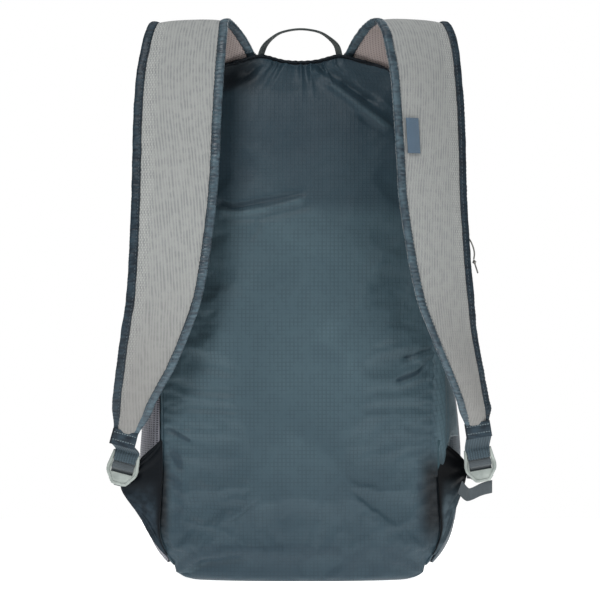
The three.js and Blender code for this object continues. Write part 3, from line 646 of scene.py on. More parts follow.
@functools.lru_cache(maxsize=None)
def back_seam(at, side):
    x = smooth(seams, "back_x", at) * BAG_HALF_WIDTH * side
    z = smooth(seams, "back_z", at) * BAG_HEIGHT
    return Vector((x, -smooth(seams, "back_y", at) * BACK_DEPTH, z + hem_lift(x, z)))


@functools.lru_cache(maxsize=None)
def front_seam(at, side):
    x = smooth(seams, "front_x", at) * BAG_HALF_WIDTH * side
    z = smooth(seams, "front_z", at) * BAG_HEIGHT
    return Vector((x, smooth(seams, "front_y", at) * FRONT_DEPTH, z))


@functools.lru_cache(maxsize=None)
def outward(at, side):
    """The way the side cloth bulges, and how far."""
    little = 0.004
    after = min(at + little, 1.0)
    before = at - little
    run = back_seam(after, side) + front_seam(after, side)
    run = run - back_seam(before, side) - front_seam(before, side)
    out = run.cross(front_seam(at, side) - back_seam(at, side)).normalized() * -side
    return out * smooth(seams, "bulge", at) * BAG_HALF_WIDTH


@functools.lru_cache(maxsize=None)
def found_place(height):
    return last_place(0.0, HEM_PLACE, lambda at: smooth(seams, "back_z", at) * BAG_HEIGHT < height)


def place_at_height(height):
    """Where the back seam is that high, to a hundredth of a millimetre."""
    return found_place(round(height, 5))


def gusset(at, across, side):
    """Side cloth: across goes from the back seam, 0, to the front seam, 1."""
    arch = math.sin(math.pi * min(max(across, 0.0), 1.0)) ** 0.75
    return back_seam(at, side).lerp(front_seam(at, side), across) + outward(at, side) * arch


def gusset_over_top(along, across):
    return gusset(1 - abs(along), across, -1 if along < 0 else 1)


widest = max(back_seam(k / 50, 1).x for k in range(51))
print("the back seam's widest place, in mm from the middle:", round(widest / MM, 1))


# %% [markdown]
# A filled bag's cloth is cut a little larger than the form it covers, so it settles into soft uneven
# folds between its seams. A cloth simulation finds them: a coarse sheet of a panel is held along its
# seams, grows by a few parts in a hundred under a light pressure from inside, and how far its points
# moved is kept. The back, the front and the sides add this to their smooth places. The top and the base
# are drawn too tight.

# %% Settled cloth
SETTLE_FRAMES = 18


def settle(name, place, columns, rows, growth, pressure, most, held=0.05):
    """How far each point of a held sheet moves as it settles, as a function of its shares."""
    sheet = make_object(name, lay_grid(place, columns, rows))
    starts = [vertex.co.copy() for vertex in sheet.data.vertices]
    seams_group = sheet.vertex_groups.new(name="seams")
    for index in range(len(starts)):
        u, v = (index % (columns + 1)) / columns, (index // (columns + 1)) / rows
        border = min(u, 1 - u, v, 1 - v)
        seams_group.add([index], 1 - step(border, 0.0, held), "REPLACE")
    cloth = sheet.modifiers.new("settling", "CLOTH")
    settings = cloth.settings
    settings.quality = 6
    settings.mass = 0.08
    settings.tension_stiffness = 20
    settings.compression_stiffness = 20
    settings.shear_stiffness = 6
    settings.bending_stiffness = 0.12
    settings.air_damping = 4
    settings.shrink_min = -growth
    settings.vertex_group_mass = "seams"
    settings.use_pressure = True
    settings.uniform_pressure_force = pressure
    settings.effector_weights.gravity = 0.0
    cloth.collision_settings.use_collision = False
    scene = bpy.context.scene
    for frame_number in range(1, SETTLE_FRAMES + 1):
        scene.frame_set(frame_number)
    settled = sheet.evaluated_get(bpy.context.evaluated_depsgraph_get()).data
    offsets = []
    for vertex, start in zip(settled.vertices, starts):
        moved = vertex.co - start
        offsets.append(moved * min(1.0, most / max(moved.length, 1e-9)))
    print(name, "moved by up to mm:", round(max(moved.length for moved in offsets) / MM, 1))
    scene.frame_set(1)
    bpy.data.objects.remove(sheet)

    def offset(u, v):
        x, y = min(max(u, 0.0), 0.99999) * columns, min(max(v, 0.0), 0.99999) * rows
        i, j = int(x), int(y)
        corner = j * (columns + 1) + i
        near = offsets[corner].lerp(offsets[corner + 1], x - i)
        far = offsets[corner + columns + 1].lerp(offsets[corner + columns + 2], x - i)
        return near.lerp(far, y - j)

    return offset


# %% [markdown]
# Nylon this thin shows every pull. The folds that the eye finds first are given one by one: the gathers
# that fan out under the hem, the long fold towards the right strap, the curved ridge on the left, the pulls
# at the side seams, and the roll above the base. Millimetres from the bag's middle and from the floor. A
# lift below zero is a furrow.

# %% Folds of the back panel
folds = table(
    ["from_x", "from_z", "to_x", "to_z", "width", "lift"],
    [
        [11, 476, 85, 418, 4.6, 3.4],
        [19, 479, 66, 447, 3.8, -4.2],
        [62, 450, 90, 427, 5.0, -2.6],
        [24, 477, 40, 464, 2.6, 1.6],
        [-31, 480, -41, 467, 4.0, 2.2],
        [-41, 467, -68, 455, 5.5, 2.4],
        [-40, 481, -52, 470, 4.0, -2.4],
        [56, 432, 88, 412, 3.5, -2.0],
        [16, 470, 30, 462, 2.4, -1.6],
        [-76, 352, -63, 347, 2.6, -3.0],
        [-63, 347, -37, 352, 2.6, -2.8],
        [-37, 352, 2, 360, 3.0, -2.2],
        [-75, 345, -55, 341, 3.2, 2.2],
        [-55, 341, -30, 345, 3.2, 2.2],
        [-30, 345, 3, 354, 3.6, 1.6],
        [-74, 336, -37, 337, 2.8, -1.1],
        [-37, 337, 8, 348, 3.2, -1.0],
        [-37, 333, -45, 318, 2.6, -1.2],
        [95, 202, 124, 211, 3.2, 1.8],
        [90, 181, 112, 188, 3.4, 1.6],
        [96, 207, 124, 216, 2.4, -2.6],
        [91, 187, 109, 194, 2.4, -2.6],
        [109, 194, 121, 205, 2.4, -2.6],
        [117, 187, 124, 202, 2.2, -1.8],
        [119, 186, 129, 204, 4.0, 1.4],
        [-126, 144, -101, 130, 2.6, -2.6],
        [-125, 151, -104, 138, 3.2, 1.8],
        [-127, 129, -110, 107, 3.4, -1.7],
        [-127, 119, -112, 98, 3.2, 1.2],
        [-127, 101, -112, 91, 3.2, -1.4],
        [-128, 84, -114, 72, 3.6, 1.0],
        [-128, 168, -106, 160, 4.0, 1.2],
        [-116, 9, -92, 24, 4.5, 2.8],
        [-92, 24, -58, 29, 5.0, 2.6],
        [-58, 29, 4, 27, 6.0, 1.8],
        [-110, 4, -88, 17, 4.0, -2.4],
        [-88, 17, -50, 21, 5.0, -2.0],
        [28, 4, 52, 20, 5.0, 2.0],
        [83, 22, 112, 9, 5.0, 2.2],
        [86, 15, 108, 6, 4.0, -1.6],
        [122, 96, 106, 112, 4.0, 1.3],
        [124, 78, 108, 92, 4.0, -1.2],
        [124, 60, 104, 74, 4.5, 1.2],
        [60, 300, 88, 250, 10.0, 1.0],
        [-96, 260, -60, 210, 12.0, 1.0],
        [-30, 150, 40, 100, 16.0, 1.2],
        [20, 240, 70, 170, 14.0, 1.0],
        [-80, 120, -20, 60, 14.0, 1.0],
    ],
)
hollows = table(
    ["x", "z", "wide", "high", "lift"],
    [
        [-62, 474, 20, 13, -5.0],
        [78, 462, 26, 18, -3.0],
        [-60, 400, 34, 34, -1.6],
        [0, 300, 60, 90, 1.2],
        [-116, 90, 10, 40, -2.2],
        [118, 70, 10, 40, -2.0],
    ],
)
print("folds laid by hand:", len(folds), "and wide hollows:", len(hollows))

# %% [markdown]
# A point of the cloth is lifted by every fold it lies near. A fold fades out sideways as a bell curve
# does, and towards its ends, so that short folds join into longer bent ones. The gathers under the hem
# are a wave that spreads as a fan and dies out downwards, with some noise to keep it uneven. The noise is
# seeded, so that every run gives the same cloth.

# %% Height of the folds
GATHER_REACH = 19 * MM
GATHER_LIFT = 2.3 * MM
GATHER_PITCH = 10.5 * MM
GATHER_FAN = 38 * MM
GATHER_HALF_WIDTH = 34 * MM
FAR_AWAY = 9
NOISE_SEED = 5
noise.seed_set(NOISE_SEED)


def fold_height(x, z):
    height = 0.0
    for fold in folds:
        start_x, start_z = fold["from_x"] * MM, fold["from_z"] * MM
        run_x, run_z = fold["to_x"] * MM - start_x, fold["to_z"] * MM - start_z
        width = fold["width"] * MM
        length = math.hypot(run_x, run_z)
        share = ((x - start_x) * run_x + (z - start_z) * run_z) / length**2
        share = min(max(share, 0.0), 1.0)
        away = ((x - start_x - share * run_x) ** 2 + (z - start_z - share * run_z) ** 2) / width**2
        if away < FAR_AWAY:
            full = mixed(0.5, 1.0, min(1.0, min(share, 1 - share) * length / width))
            height += fold["lift"] * MM * math.exp(-away) * full
    for hollow in hollows:
        aside = (x / MM - hollow["x"]) / hollow["wide"]
        above = (z / MM - hollow["z"]) / hollow["high"]
        away = aside**2 + above**2
        if away < FAR_AWAY:
            height += hollow["lift"] * MM * math.exp(-away)
    down = max(BAG_HEIGHT - z, 0.0)
    fan = x / (1 + down / GATHER_FAN)
    jitter = noise.noise(Vector((fan * 90, 3.1, down * 14))) * 2.6
    wave = 1 - 2 * abs(math.sin(math.pi * fan / GATHER_PITCH + jitter)) ** 0.7
    middle = math.exp(-((x / GATHER_HALF_WIDTH) ** 4))
    return height + GATHER_LIFT * wave * math.exp(-((down / GATHER_REACH) ** 2)) * middle


def crumple(point, size, seed):
    """Soft creases of thin cloth: ridges where a slow noise passes through zero."""
    place = Vector((point.x / size + seed, point.y / size, point.z / size))
    bent = place + noise.noise_vector(place * 0.6) * 0.9
    return 1.0 - 2.0 * abs(noise.noise(bent))


def ripple(along, pitch, seed):
    """Uneven small waves along a seam, from -1 to 1."""
    return math.sin(2 * math.pi * along / pitch + 2.4 * noise.noise(Vector((along / pitch * 0.5, seed, 0.0))))


# %% [markdown]
# The back panel is the sheet that faces the wearer. Its smooth form bellies out between the seams,
# settling and the folds come on top, and small puckers follow the side seams, where the thread draws the
# cloth up.

# %% Back panel
SEAM_GAP = 0.0004
FIRST_PLACE = 0.0009


def belly(start, power, across, up):
    return (1 - abs(across) ** 3) * math.sin(math.pi * (start + (1 - start) * min(up, 1.0))) ** power


def back_panel(across, up):
    at = up * HEM_PLACE
    edge = back_seam(at, 1)
    x = across * edge.x
    level = smooth(seams, "back_z", at) * BAG_HEIGHT
    return Vector((x, edge.y - BACK_BELLY * belly(0.32, 0.7, across, up), level + hem_lift(x, level)))


def back_relief(u, v, point):
    across = 2 * u - 1
    calm = (1 - abs(across) ** 10) * step(1 - v, -0.004, 0.012)
    waves = 0.9 * MM * crumple(point, 0.075, 4.0) + 0.35 * MM * crumple(point, 0.028, 9.0)
    waves *= mixed(0.25, 1.0, step(1 - v, 0.03, 0.2))
    seam = (1 - abs(across)) * 0.128
    pucker = 0.8 * MM * ripple(point.z, 0.011, 1.0 + across) * math.exp(-((seam / 0.006) ** 2))
    folded = (fold_height(point.x, point.z) + waves - 0.6 * MM) * calm
    return folded + pucker * step(1 - abs(across), 0, 0.012)


edge_share = 1 - SEAM_GAP / 2 / back_seam(0.45, 1).x


def from_rim(v):
    """How far up a panel a share of its sheet is. The sheet starts just above the rim."""
    return FIRST_PLACE + (1 - FIRST_PLACE) * v


def back_place(u, v):
    return back_panel((2 * u - 1) * edge_share, from_rim(v))


back_settled = settle("back_settling", back_place, 90, 150, 0.03, 0.6, 5 * MM)


def back_slack(across, up):
    """What settling adds at a place of the back panel. The hem and its gathers hold the cloth still."""
    v = (up - FIRST_PLACE) / (1 - FIRST_PLACE)
    return back_settled((across / edge_share + 1) / 2, v) * step(1 - up, 0.04, 0.22)


def slack_back_place(u, v):
    return back_place(u, v) + back_slack((2 * u - 1) * edge_share, from_rim(v))


back = sheet_piece("back_cloth", slack_back_place, 170, 280, CLOTH_WALL, back_relief)
install(back, body_cloth, "body_cloth", "back_panel")

# %% [markdown]
# The front is cut from the same cloth. It is the fullest panel, because what is packed pushes against it,
# and its puckers run in from the seams.

# %% Front panel


def panel_relief(size, lift, seed, pitch=0.014):
    def relief(u, v, point):
        border = min(u, 1 - u, v * 2, (1 - v) * 2)
        calm = step(border, 0.0, 0.06)
        pucker = math.exp(-((border / 0.07) ** 2)) * step(border, 0.0, 0.02)
        creases = lift * (crumple(point, size, seed) * 0.7 + crumple(point, size * 0.4, seed + 3) * 0.3 - 0.5)
        drawn = 0.5 * MM * ripple(point.x + point.y + point.z, pitch, seed)
        return creases * calm + drawn * pucker

    return relief


def front_panel(across, up):
    at = up * HEM_PLACE
    edge = front_seam(at, 1)
    top = smooth(seams, "front_z", 1.0) * BAG_HEIGHT - edge.z
    crown = top * step(up, 0.9, 1.0) * (1 - across**2)
    return Vector((across * edge.x, edge.y + FRONT_BELLY * belly(0.3, 0.6, across, up), edge.z + crown))


front_share = 1 - SEAM_GAP / 2 / front_seam(0.45, 1).x


def front_place(u, v):
    return front_panel((1 - 2 * u) * front_share, from_rim(v))


front_settled = settle("front_settling", front_place, 64, 110, 0.035, 0.6, 7 * MM)


def slack_front_place(u, v):
    return front_place(u, v) + front_settled(u, v)


front_relief = panel_relief(0.06, 2.4 * MM, 21.0)
front = sheet_piece("front_cloth", slack_front_place, 110, 180, CLOTH_WALL, front_relief)
install(front, body_cloth, "body_cloth", "front_panel")

# %% [markdown]
# The side cloth runs from the base up to where the top begins. The pockets hold its lower part flat, so
# it settles above them only. Both sides come from one loop, in which side is -1 on the left and 1 on the
# right.

# %% Side panels
SIDES = (("left", -1), ("right", 1))
SIDE_TOP_PLACE = 0.7
SEAM_INSET = 0.0013
DEPTH = BACK_DEPTH + FRONT_DEPTH
SETTLED_FROM = 0.46
SETTLED_FULLY = 0.6
side_margin = SEAM_INSET / DEPTH
side_top = SIDE_TOP_PLACE - SEAM_GAP / 2 / BAG_HEIGHT

for word, side in SIDES:

    def side_place(u, v, side=side):
        across = side_margin + (1 - 2 * side_margin) * (u if side > 0 else 1 - u)
        return gusset(FIRST_PLACE + (side_top - FIRST_PLACE) * v, across, side)

    side_settled = settle(f"side_settling_{word}", side_place, 36, 100, 0.03, 0.6, 4 * MM)

    def slack_side_place(u, v, place=side_place, settled=side_settled):
        return place(u, v) + settled(u, v) * step(v, SETTLED_FROM, SETTLED_FULLY)

    side_relief = panel_relief(0.045, 1.2 * MM, 31.0 + side)
    panel = sheet_piece(f"side_cloth_{word}", slack_side_place, 60, 150, CLOTH_WALL, side_relief)
    install(panel, body_cloth, "body_cloth", f"side_panel_{word}")

# %% [markdown]
# The top goes on from the sides and passes over the bag from one to the other, under the zip.

# %% Top panel
TOP_INSET = 0.0026


def top_place(u, v):
    margin = TOP_INSET / DEPTH
    reach = 1 - SIDE_TOP_PLACE - SEAM_GAP / 2 / BAG_HEIGHT
    return gusset_over_top((2 * u - 1) * reach, margin + (1 - 2 * margin) * v)


top = sheet_piece("top_cloth", top_place, 150, 40, CLOTH_WALL, panel_relief(0.035, 1.2 * MM, 41.0, 0.009))
install(top, body_cloth, "body_cloth", "top_panel")

# %% [markdown]
# The base is a square sheet stretched over the bag's rim. Its middle lies flat on the floor, and its
# border curves up to the seam.

# %% Base
BASE_FLAT_WIDTH = 0.7
BASE_FLAT_DEPTH = 0.88
BASE_FULLNESS = 2.6
RIM_GAP = -0.0002
LAST_TURN = 3.999999


def rim(turn):
    """The base's seam: 0 to 1 along the back, then the right side, the front and the left side."""
    corner = int(turn) % 4
    part = turn - int(turn)
    if corner == 0:
        return back_panel(2 * part - 1, 0.0)
    if corner == 1:
        return gusset(0.0, part, 1)
    if corner == 2:
        return front_panel(1 - 2 * part, 0.0)
    return gusset(0.0, 1 - part, -1)


def base_place(u, v):
    a, b = 2 * u - 1, 1 - 2 * v
    out = max(abs(a), abs(b), 1e-6)
    if -b >= abs(a):
        turn = (a / out + 1) / 2
    elif a >= abs(b):
        turn = 1 + (b / out + 1) / 2
    elif b >= abs(a):
        turn = 2 + (1 - a / out) / 2
    else:
        turn = 3 + (1 - b / out) / 2
    edge = rim(min(turn, LAST_TURN))
    raised = max(0.0, (out - BASE_FLAT_WIDTH) / (1 - BASE_FLAT_WIDTH))
    flat = min(out, BASE_FLAT_WIDTH) / BASE_FLAT_WIDTH * BASE_FLAT_DEPTH
    deep = flat + raised * (1 - BASE_FLAT_DEPTH)
    height = (edge.z - RIM_GAP) * (1 - (1 - min(raised, 1.0) ** BASE_FULLNESS) ** (1 / BASE_FULLNESS))
    return Vector((edge.x * out, edge.y * deep, height))


def base_relief(u, v, point):
    folded = fold_height(point.x, point.z) if point.y < 0 else 0.0
    return (folded - 0.5 * MM * (1.6 + crumple(point, 0.022, 51.0))) * step(point.z, 0.002, 0.008)


base = sheet_piece("base_cloth", base_place, 120, 120, CLOTH_WALL, base_relief)
install(base, body_cloth, "body_cloth", "base_panel")

# %% [markdown]
# On the harness side the back's cloth is slack, and rolls over the base's seam before it meets the floor.
# A second thin sheet follows the back panel down and then the base inwards, and carries the folds across.

# %% Base skirt
SKIRT_TOP = 0.075
SKIRT_FOOT = 0.74
SKIRT_BEND = 0.45


def skirt_place(u, v):
    across = (2 * u - 1) * 0.99
    if v < SKIRT_BEND:
        up = SKIRT_TOP * (1 - v / SKIRT_BEND)
        return back_panel(across, up) + back_slack(across, max(up, FIRST_PLACE))
    out = mixed(1.0, SKIRT_FOOT, (v - SKIRT_BEND) / (1 - SKIRT_BEND))
    return base_place((across * out + 1) / 2, (1 + out) / 2)


def skirt_relief(u, v, point):
    across = 2 * u - 1
    edges = step(v, 0.0, 0.3) * (1 - abs(across) ** 12)
    waves = 0.9 * MM * crumple(point, 0.075, 4.0) + 0.5 * MM * crumple(point, 0.024, 57.0)
    lift = mixed(-1.0 * MM, 0.6 * MM, edges) + fold_height(point.x, point.z) + waves - 0.6 * MM
    return -lift * step(point.z, 0.0008, 0.005)


skirt = sheet_piece("base_skirt", skirt_place, 180, 44, CLOTH_WALL * 0.6, skirt_relief, inwards=False)
install(skirt, body_cloth, "body_cloth")

# %% [markdown]
# Every seam is turned inwards, and shows as a soft roll. Rolls, hems, bindings and cords are all tubes: a
# section of one is a circle or a flat oval, which is carried along a line.

# %% Sections of tubes


def oval(u, full_across=1.0, full_through=1.0):
    """A point of a round section, from -1 to 1 each way. Powers below 1 make it squarer."""
    across, through = math.cos(2 * math.pi * u), math.sin(2 * math.pi * u)
    wide = math.copysign(abs(across) ** full_across, across)
    return wide, math.copysign(abs(through) ** full_through, through)


def direction(line, at, little):
    """The way a line runs at a place."""
    return (line(min(at + little, 1.0)) - line(max(at - little, 0.0))).normalized()


def ring(point, run, lean, u, radius):
    """A point of the circle round a line that runs that way."""
    side = run.cross(lean).normalized()
    across, through = oval(u)
    return point + (side * across + side.cross(run) * through) * radius


# %% [markdown]
# The seam round the base is one closed roll. It is tucked in further on the harness side, under the
# skirt.

# %% Base seam
ROLL_RADIUS = 0.0012
ROLL_TUCK = 0.0012
ROLL_TUCK_BEHIND = 0.0034


def roll_place(u, v):
    across, through = oval(u)
    point = rim(min(v * 4 % 4.0, LAST_TURN))
    out = Vector((point.x, point.y, 0.0)).normalized()
    tucked = ROLL_TUCK + ROLL_TUCK_BEHIND * step(-point.y, 0.0, 0.03)
    return point + out * (across * ROLL_RADIUS - tucked) + Vector((0.0, 0.0, through * ROLL_RADIUS))


roll = tube_piece("base_seam_roll", roll_place, 10, 480)
install(roll, body_cloth, "body_cloth")

# %% [markdown]
# The side seams, the joints between the sides and the top, and the front seam are rolls of their own.

# %% Other seams
SEAM_ROLL_RADIUS = 0.0011
FRONT_ROLL_RADIUS = 0.0016
SEAM_LEAN = Vector((0.3, 1.0, 0.2))


def seam_roll(name, line, radius=SEAM_ROLL_RADIUS):
    def place(u, v):
        return ring(line(v), direction(line, v, 0.003), SEAM_LEAN, u, radius)

    install(tube_piece(name, place, 8, 260), body_cloth, "body_cloth")


for word, side in SIDES:

    def back_line(v, side=side):
        return gusset(mixed(0.002, 0.84, v), 0.004, side)

    def joint_line(v, side=side):
        return gusset(SIDE_TOP_PLACE, mixed(0.01, 0.99, v), side)

    seam_roll(f"back_seam_roll_{word}", back_line)
    seam_roll(f"top_joint_roll_{word}", joint_line)
seam_roll("front_seam_roll", lambda v: gusset_over_top((2 * v - 1) * 0.998, 0.996), FRONT_ROLL_RADIUS)

# %% [markdown]
# Along the gathered top edge runs a thin binding: a narrow tape folded over the raw edges. It is a closed
# tube with a flat oval section, drawn up a little by its stitches.

# %% Top hem
HEM_HALF_LENGTH = 0.062
HEM_WIDTH = 0.005
HEM_WALL = 0.0016
HEM_LIFT = 0.0016
HEM_TALL = 0.0030
hem_y = -smooth(seams, "back_y", 1.0) * BACK_DEPTH


def hem_place(u, v):
    x = (2 * v - 1) * HEM_HALF_LENGTH
    across, through = oval(u)
    y = hem_y + across * HEM_WIDTH / 2
    tall = HEM_TALL / 2 * (1 + 0.12 * ripple(x, 0.006, 3.0))
    middle = BAG_HEIGHT + hem_lift(x, BAG_HEIGHT) + HEM_LIFT + HEM_WALL - HEM_TALL / 2
    return Vector((x, y, middle + through * tall))


hem = tube_piece("top_hem_tape", hem_place, 16, 160)
install(hem, hem_cloth, "trim_cloth", "top_hem")

# %% [markdown]
# The dark edge goes on past the hem's ends and down towards the sides: a thin round piping on the seam.

# %% Piping
PIPING_HALF_LENGTH = 0.115
PIPING_RADIUS = 0.0019
PIPING_BEHIND = 0.0012
PIPING_LIFT = 0.0005


@functools.lru_cache(maxsize=None)
def top_edge(x):
    side = -1 if x < 0 else 1
    at = last_place(SIDE_TOP_PLACE, 1.0, lambda place: abs(back_seam(place, side).x) > abs(x))
    return back_seam(at, side)


def piping_place(u, v):
    x = (2 * v - 1) * PIPING_HALF_LENGTH
    across, through = oval(u)
    swell = PIPING_RADIUS * (1 + 0.12 * ripple(x, 0.009, 13.0))
    return top_edge(x) + Vector((0.0, PIPING_BEHIND + across * swell, PIPING_LIFT + through * swell))


piping = tube_piece("top_edge_piping", piping_place, 12, 200)
install(piping, hem_cloth, "trim_cloth")

# %% [markdown]
# The mesh pockets lie flat over the lower sides, empty, and an elastic tape gathers their top edge.

# %% Side pockets
POCKET_TOP = 0.204
POCKET_FOOT = 0.020
POCKET_HEM = 0.009
POCKET_LIFT = 0.0013
POCKET_WALL = 0.0011
POCKET_HEM_WALL = 0.0017
POCKET_EDGE = {-1: 0.012, 1: 0.05}
POCKET_BULGE = {-1: 0.0038, 1: 0.0044}
POCKET_LENGTH = 0.13
hem_foot = POCKET_TOP - POCKET_HEM


def pocket_across(side, u):
    """Where a share of the pocket's width is on the side cloth."""
    return mixed(POCKET_EDGE[side], 1 - POCKET_EDGE[side], u if side > 0 else 1 - u)


def pocket_surface(side, u, height):
    return gusset(place_at_height(height), pocket_across(side, u), side)


def pocket_slack(side, across, height):
    """How far the empty pocket stands off the side cloth, from its near edge to its far one."""
    inside = (across - POCKET_EDGE[side]) / (1 - 2 * POCKET_EDGE[side])
    up = (height - POCKET_FOOT) / (hem_foot - POCKET_FOOT)
    wide = math.sin(math.pi * min(max(inside, 0.0), 1.0)) ** 0.5
    return POCKET_BULGE[side] * wide * step(up, 0.3, 0.6) * step(1 - up, -0.05, 0.2)


for word, side in SIDES:

    def net_place(u, v, side=side):
        return pocket_surface(side, u, mixed(POCKET_FOOT, hem_foot - SEAM_GAP, v))

    def net_relief(u, v, point, side=side):
        gathers = 0.5 * MM * ripple(u * POCKET_LENGTH, 0.012, 61.0) * math.exp(-(((1 - v) / 0.25) ** 2))
        calm = step(min(u, 1 - u), 0.0, 0.05)
        slack = pocket_slack(side, pocket_across(side, u), mixed(POCKET_FOOT, hem_foot, v))
        waves = gathers + 0.4 * MM * (1 + crumple(point, 0.05, 63.0))
        return POCKET_LIFT + POCKET_WALL + slack + waves * calm

    def band_place(u, v, side=side):
        return pocket_surface(side, u, mixed(hem_foot, POCKET_TOP, v))

    def band_relief(u, v, point):
        pleat = 0.5 * MM * ripple(u * POCKET_LENGTH, 0.006, 65.0) * math.sin(math.pi * v)
        return POCKET_LIFT + POCKET_HEM_WALL + 0.5 * MM + pleat * step(min(u, 1 - u), 0.0, 0.04)

    net = sheet_piece(f"pocket_net_{word}", net_place, 80, 110, POCKET_WALL, net_relief)
    install(net, pocket_mesh[side], "pocket_mesh", f"mesh_pocket_{word}")
    pocket_band = sheet_piece(f"pocket_band_{word}", band_place, 120, 8, POCKET_HEM_WALL, band_relief)
    install(pocket_band, trim_cloth, "trim_cloth", f"pocket_hem_{word}")

# %% [markdown]
# On the right the bag's own cloth bulges over the pocket's near edge, so no mesh shows from the harness
# side. It starts on the back panel, passes over the seam, and ends below along the wing's upper edge.

# %% Facing on the right
FACING_WIDTH = 0.27
FACING_START = 0.955
FACING_TURN = 0.14
FACING_FOOT = (0.097, 0.134)
FACING_TOP = 0.245


def facing_width(v):
    return FACING_WIDTH * mixed(1.0, 0.2, step(v, 0.3, 1.0))


def facing_place(u, v):
    foot = mixed(*FACING_FOOT, step(u, 0.1, 0.5))
    at = place_at_height(mixed(foot, FACING_TOP, v))
    if u < FACING_TURN:
        across = mixed(FACING_START, 1.0, u / FACING_TURN)
        up = at / HEM_PLACE
        return back_panel(across, up) + back_slack(min(across, edge_share), up)
    return gusset(at, facing_width(v) * (u - FACING_TURN) / (1 - FACING_TURN), 1)


def facing_relief(u, v, point):
    tucked = step(u, -0.02, 0.1) * step(1 - v, 0.0, 0.25)
    rounded = step(1 - u, -0.05, 0.3) * step(v, -0.05, 0.12)
    full = mixed(0.0014, mixed(0.0038, 0.0058, rounded), step(u, 0.1, 0.24))
    full += pocket_slack(1, facing_width(v) * max(u - FACING_TURN, 0.0) / (1 - FACING_TURN), point.z)
    return -0.0012 + (0.0012 + full + 0.4 * MM * crumple(point, 0.02, 67.0) * rounded) * tucked


facing = sheet_piece("side_facing_right", facing_place, 60, 110, CLOTH_WALL, facing_relief)
install(facing, body_cloth, "body_cloth")

# %% [markdown]
# The zip runs over the top from one side to the other. Its coil is sewn on the inside of the tape, so
# what shows is two flat tapes with a row of fine ridges between them.

# %% Zip
ZIP_END_HEIGHT = 0.300
ZIP_WIDTH = 0.020
ZIP_WALL = 0.0013
ZIP_LIFT = 0.0011


def zip_surface(along, across):
    side = -1 if along < 0 else 1
    at = 1 - abs(along)
    chord = (front_seam(at, side) - back_seam(at, side)).length
    return gusset(at, 0.5 + (across - 0.5) * ZIP_WIDTH / chord, side)


zip_reach = 1 - place_at_height(ZIP_END_HEIGHT)


def zip_relief(u, v, point):
    middle = abs(v - 0.5) * 2
    fold = 0.35 * MM * math.exp(-(((middle - 0.32) / 0.1) ** 2))
    return ZIP_LIFT + ZIP_WALL + fold - 0.25 * MM * math.exp(-((middle / 0.12) ** 2))


def zip_place(u, v):
    return zip_surface((2 * u - 1) * zip_reach, v)


zip_tape = sheet_piece("zip_tape", zip_place, 420, 16, ZIP_WALL, zip_relief)
install(zip_tape, zip_cloth, "trim_cloth", "main_zip")

# %% [markdown]
# The coil's turns are small rounded blocks, one every few millimetres. Each is turned to lie on the tape.
# They are one piece of a few faces each, because there are hundreds of them.

# %% Zip coil
TOOTH_PITCH = 0.0026
TOOTH_LENGTH = 0.66
TOOTH_WIDTH = 0.0046
TOOTH_HEIGHT = 0.0009
TOOTH_ROUND = 0.0003
ZIP_STEPS = 200


def surface_frame(place, u, v, little=0.002):
    """A point of a surface with the directions along v and out of it."""
    across = place(u + little, v) - place(u - little, v)
    along = (place(u, v + little) - place(u, v - little)).normalized()
    return place(u, v), along, across.cross(along).normalized()


def add_teeth():
    mesh = bmesh.new()
    stops = [zip_surface(mixed(-zip_reach, zip_reach, k / ZIP_STEPS), 0.5) for k in range(ZIP_STEPS + 1)]
    length = sum((after - before).length for before, after in zip(stops, stops[1:]))
    count = int(length / TOOTH_PITCH)
    for k in range(1, count):
        along = mixed(-zip_reach, zip_reach, k / count)
        point, over, out = surface_frame(zip_surface, along, 0.5)
        run = over.cross(out)
        turn = Matrix((run, over, out)).transposed().to_4x4()
        size = Matrix.Diagonal((TOOTH_PITCH * TOOTH_LENGTH, TOOTH_WIDTH, TOOTH_HEIGHT, 1.0))
        place = Matrix.Translation(point + out * (ZIP_LIFT + ZIP_WALL + TOOTH_HEIGHT * 0.25))
        bmesh.ops.create_cube(mesh, size=1.0, matrix=place @ turn @ size)
    bmesh.ops.bevel(
        mesh, geom=mesh.edges[:], offset=TOOTH_ROUND, segments=1, profile=0.5, affect="EDGES", material=-1
    )
    print("zip teeth:", count - 1)
    return make_object("zip_coil", mesh)


install(add_teeth(), zip_plastic, "trim_cloth")

# %% [markdown]
# The shoulder straps are sewn to the bag's top, fold over, and hang in front of the back panel. Both are
# cut alike, but each hangs in its own way: the right one is turned further, so less of its mesh shows.

# %% The straps' line
STRAP_WIDTH = 0.082
STRAP_THICKNESS = 0.006
STRAP_CROWN = 0.003
STRAP_SPREAD = 0.162
STRAP_STAND = 0.104
STRAP_TOP = 0.5185
ROOT_INNER = 0.042
ROOT_OUTER = 0.106
ROOT_LIFT = 0.0042
ROOT_BEHIND = 0.009
BINDING_WIDTH = 0.0095
BINDING_THICKNESS = 0.007
BINDING_GAP = 0.00135

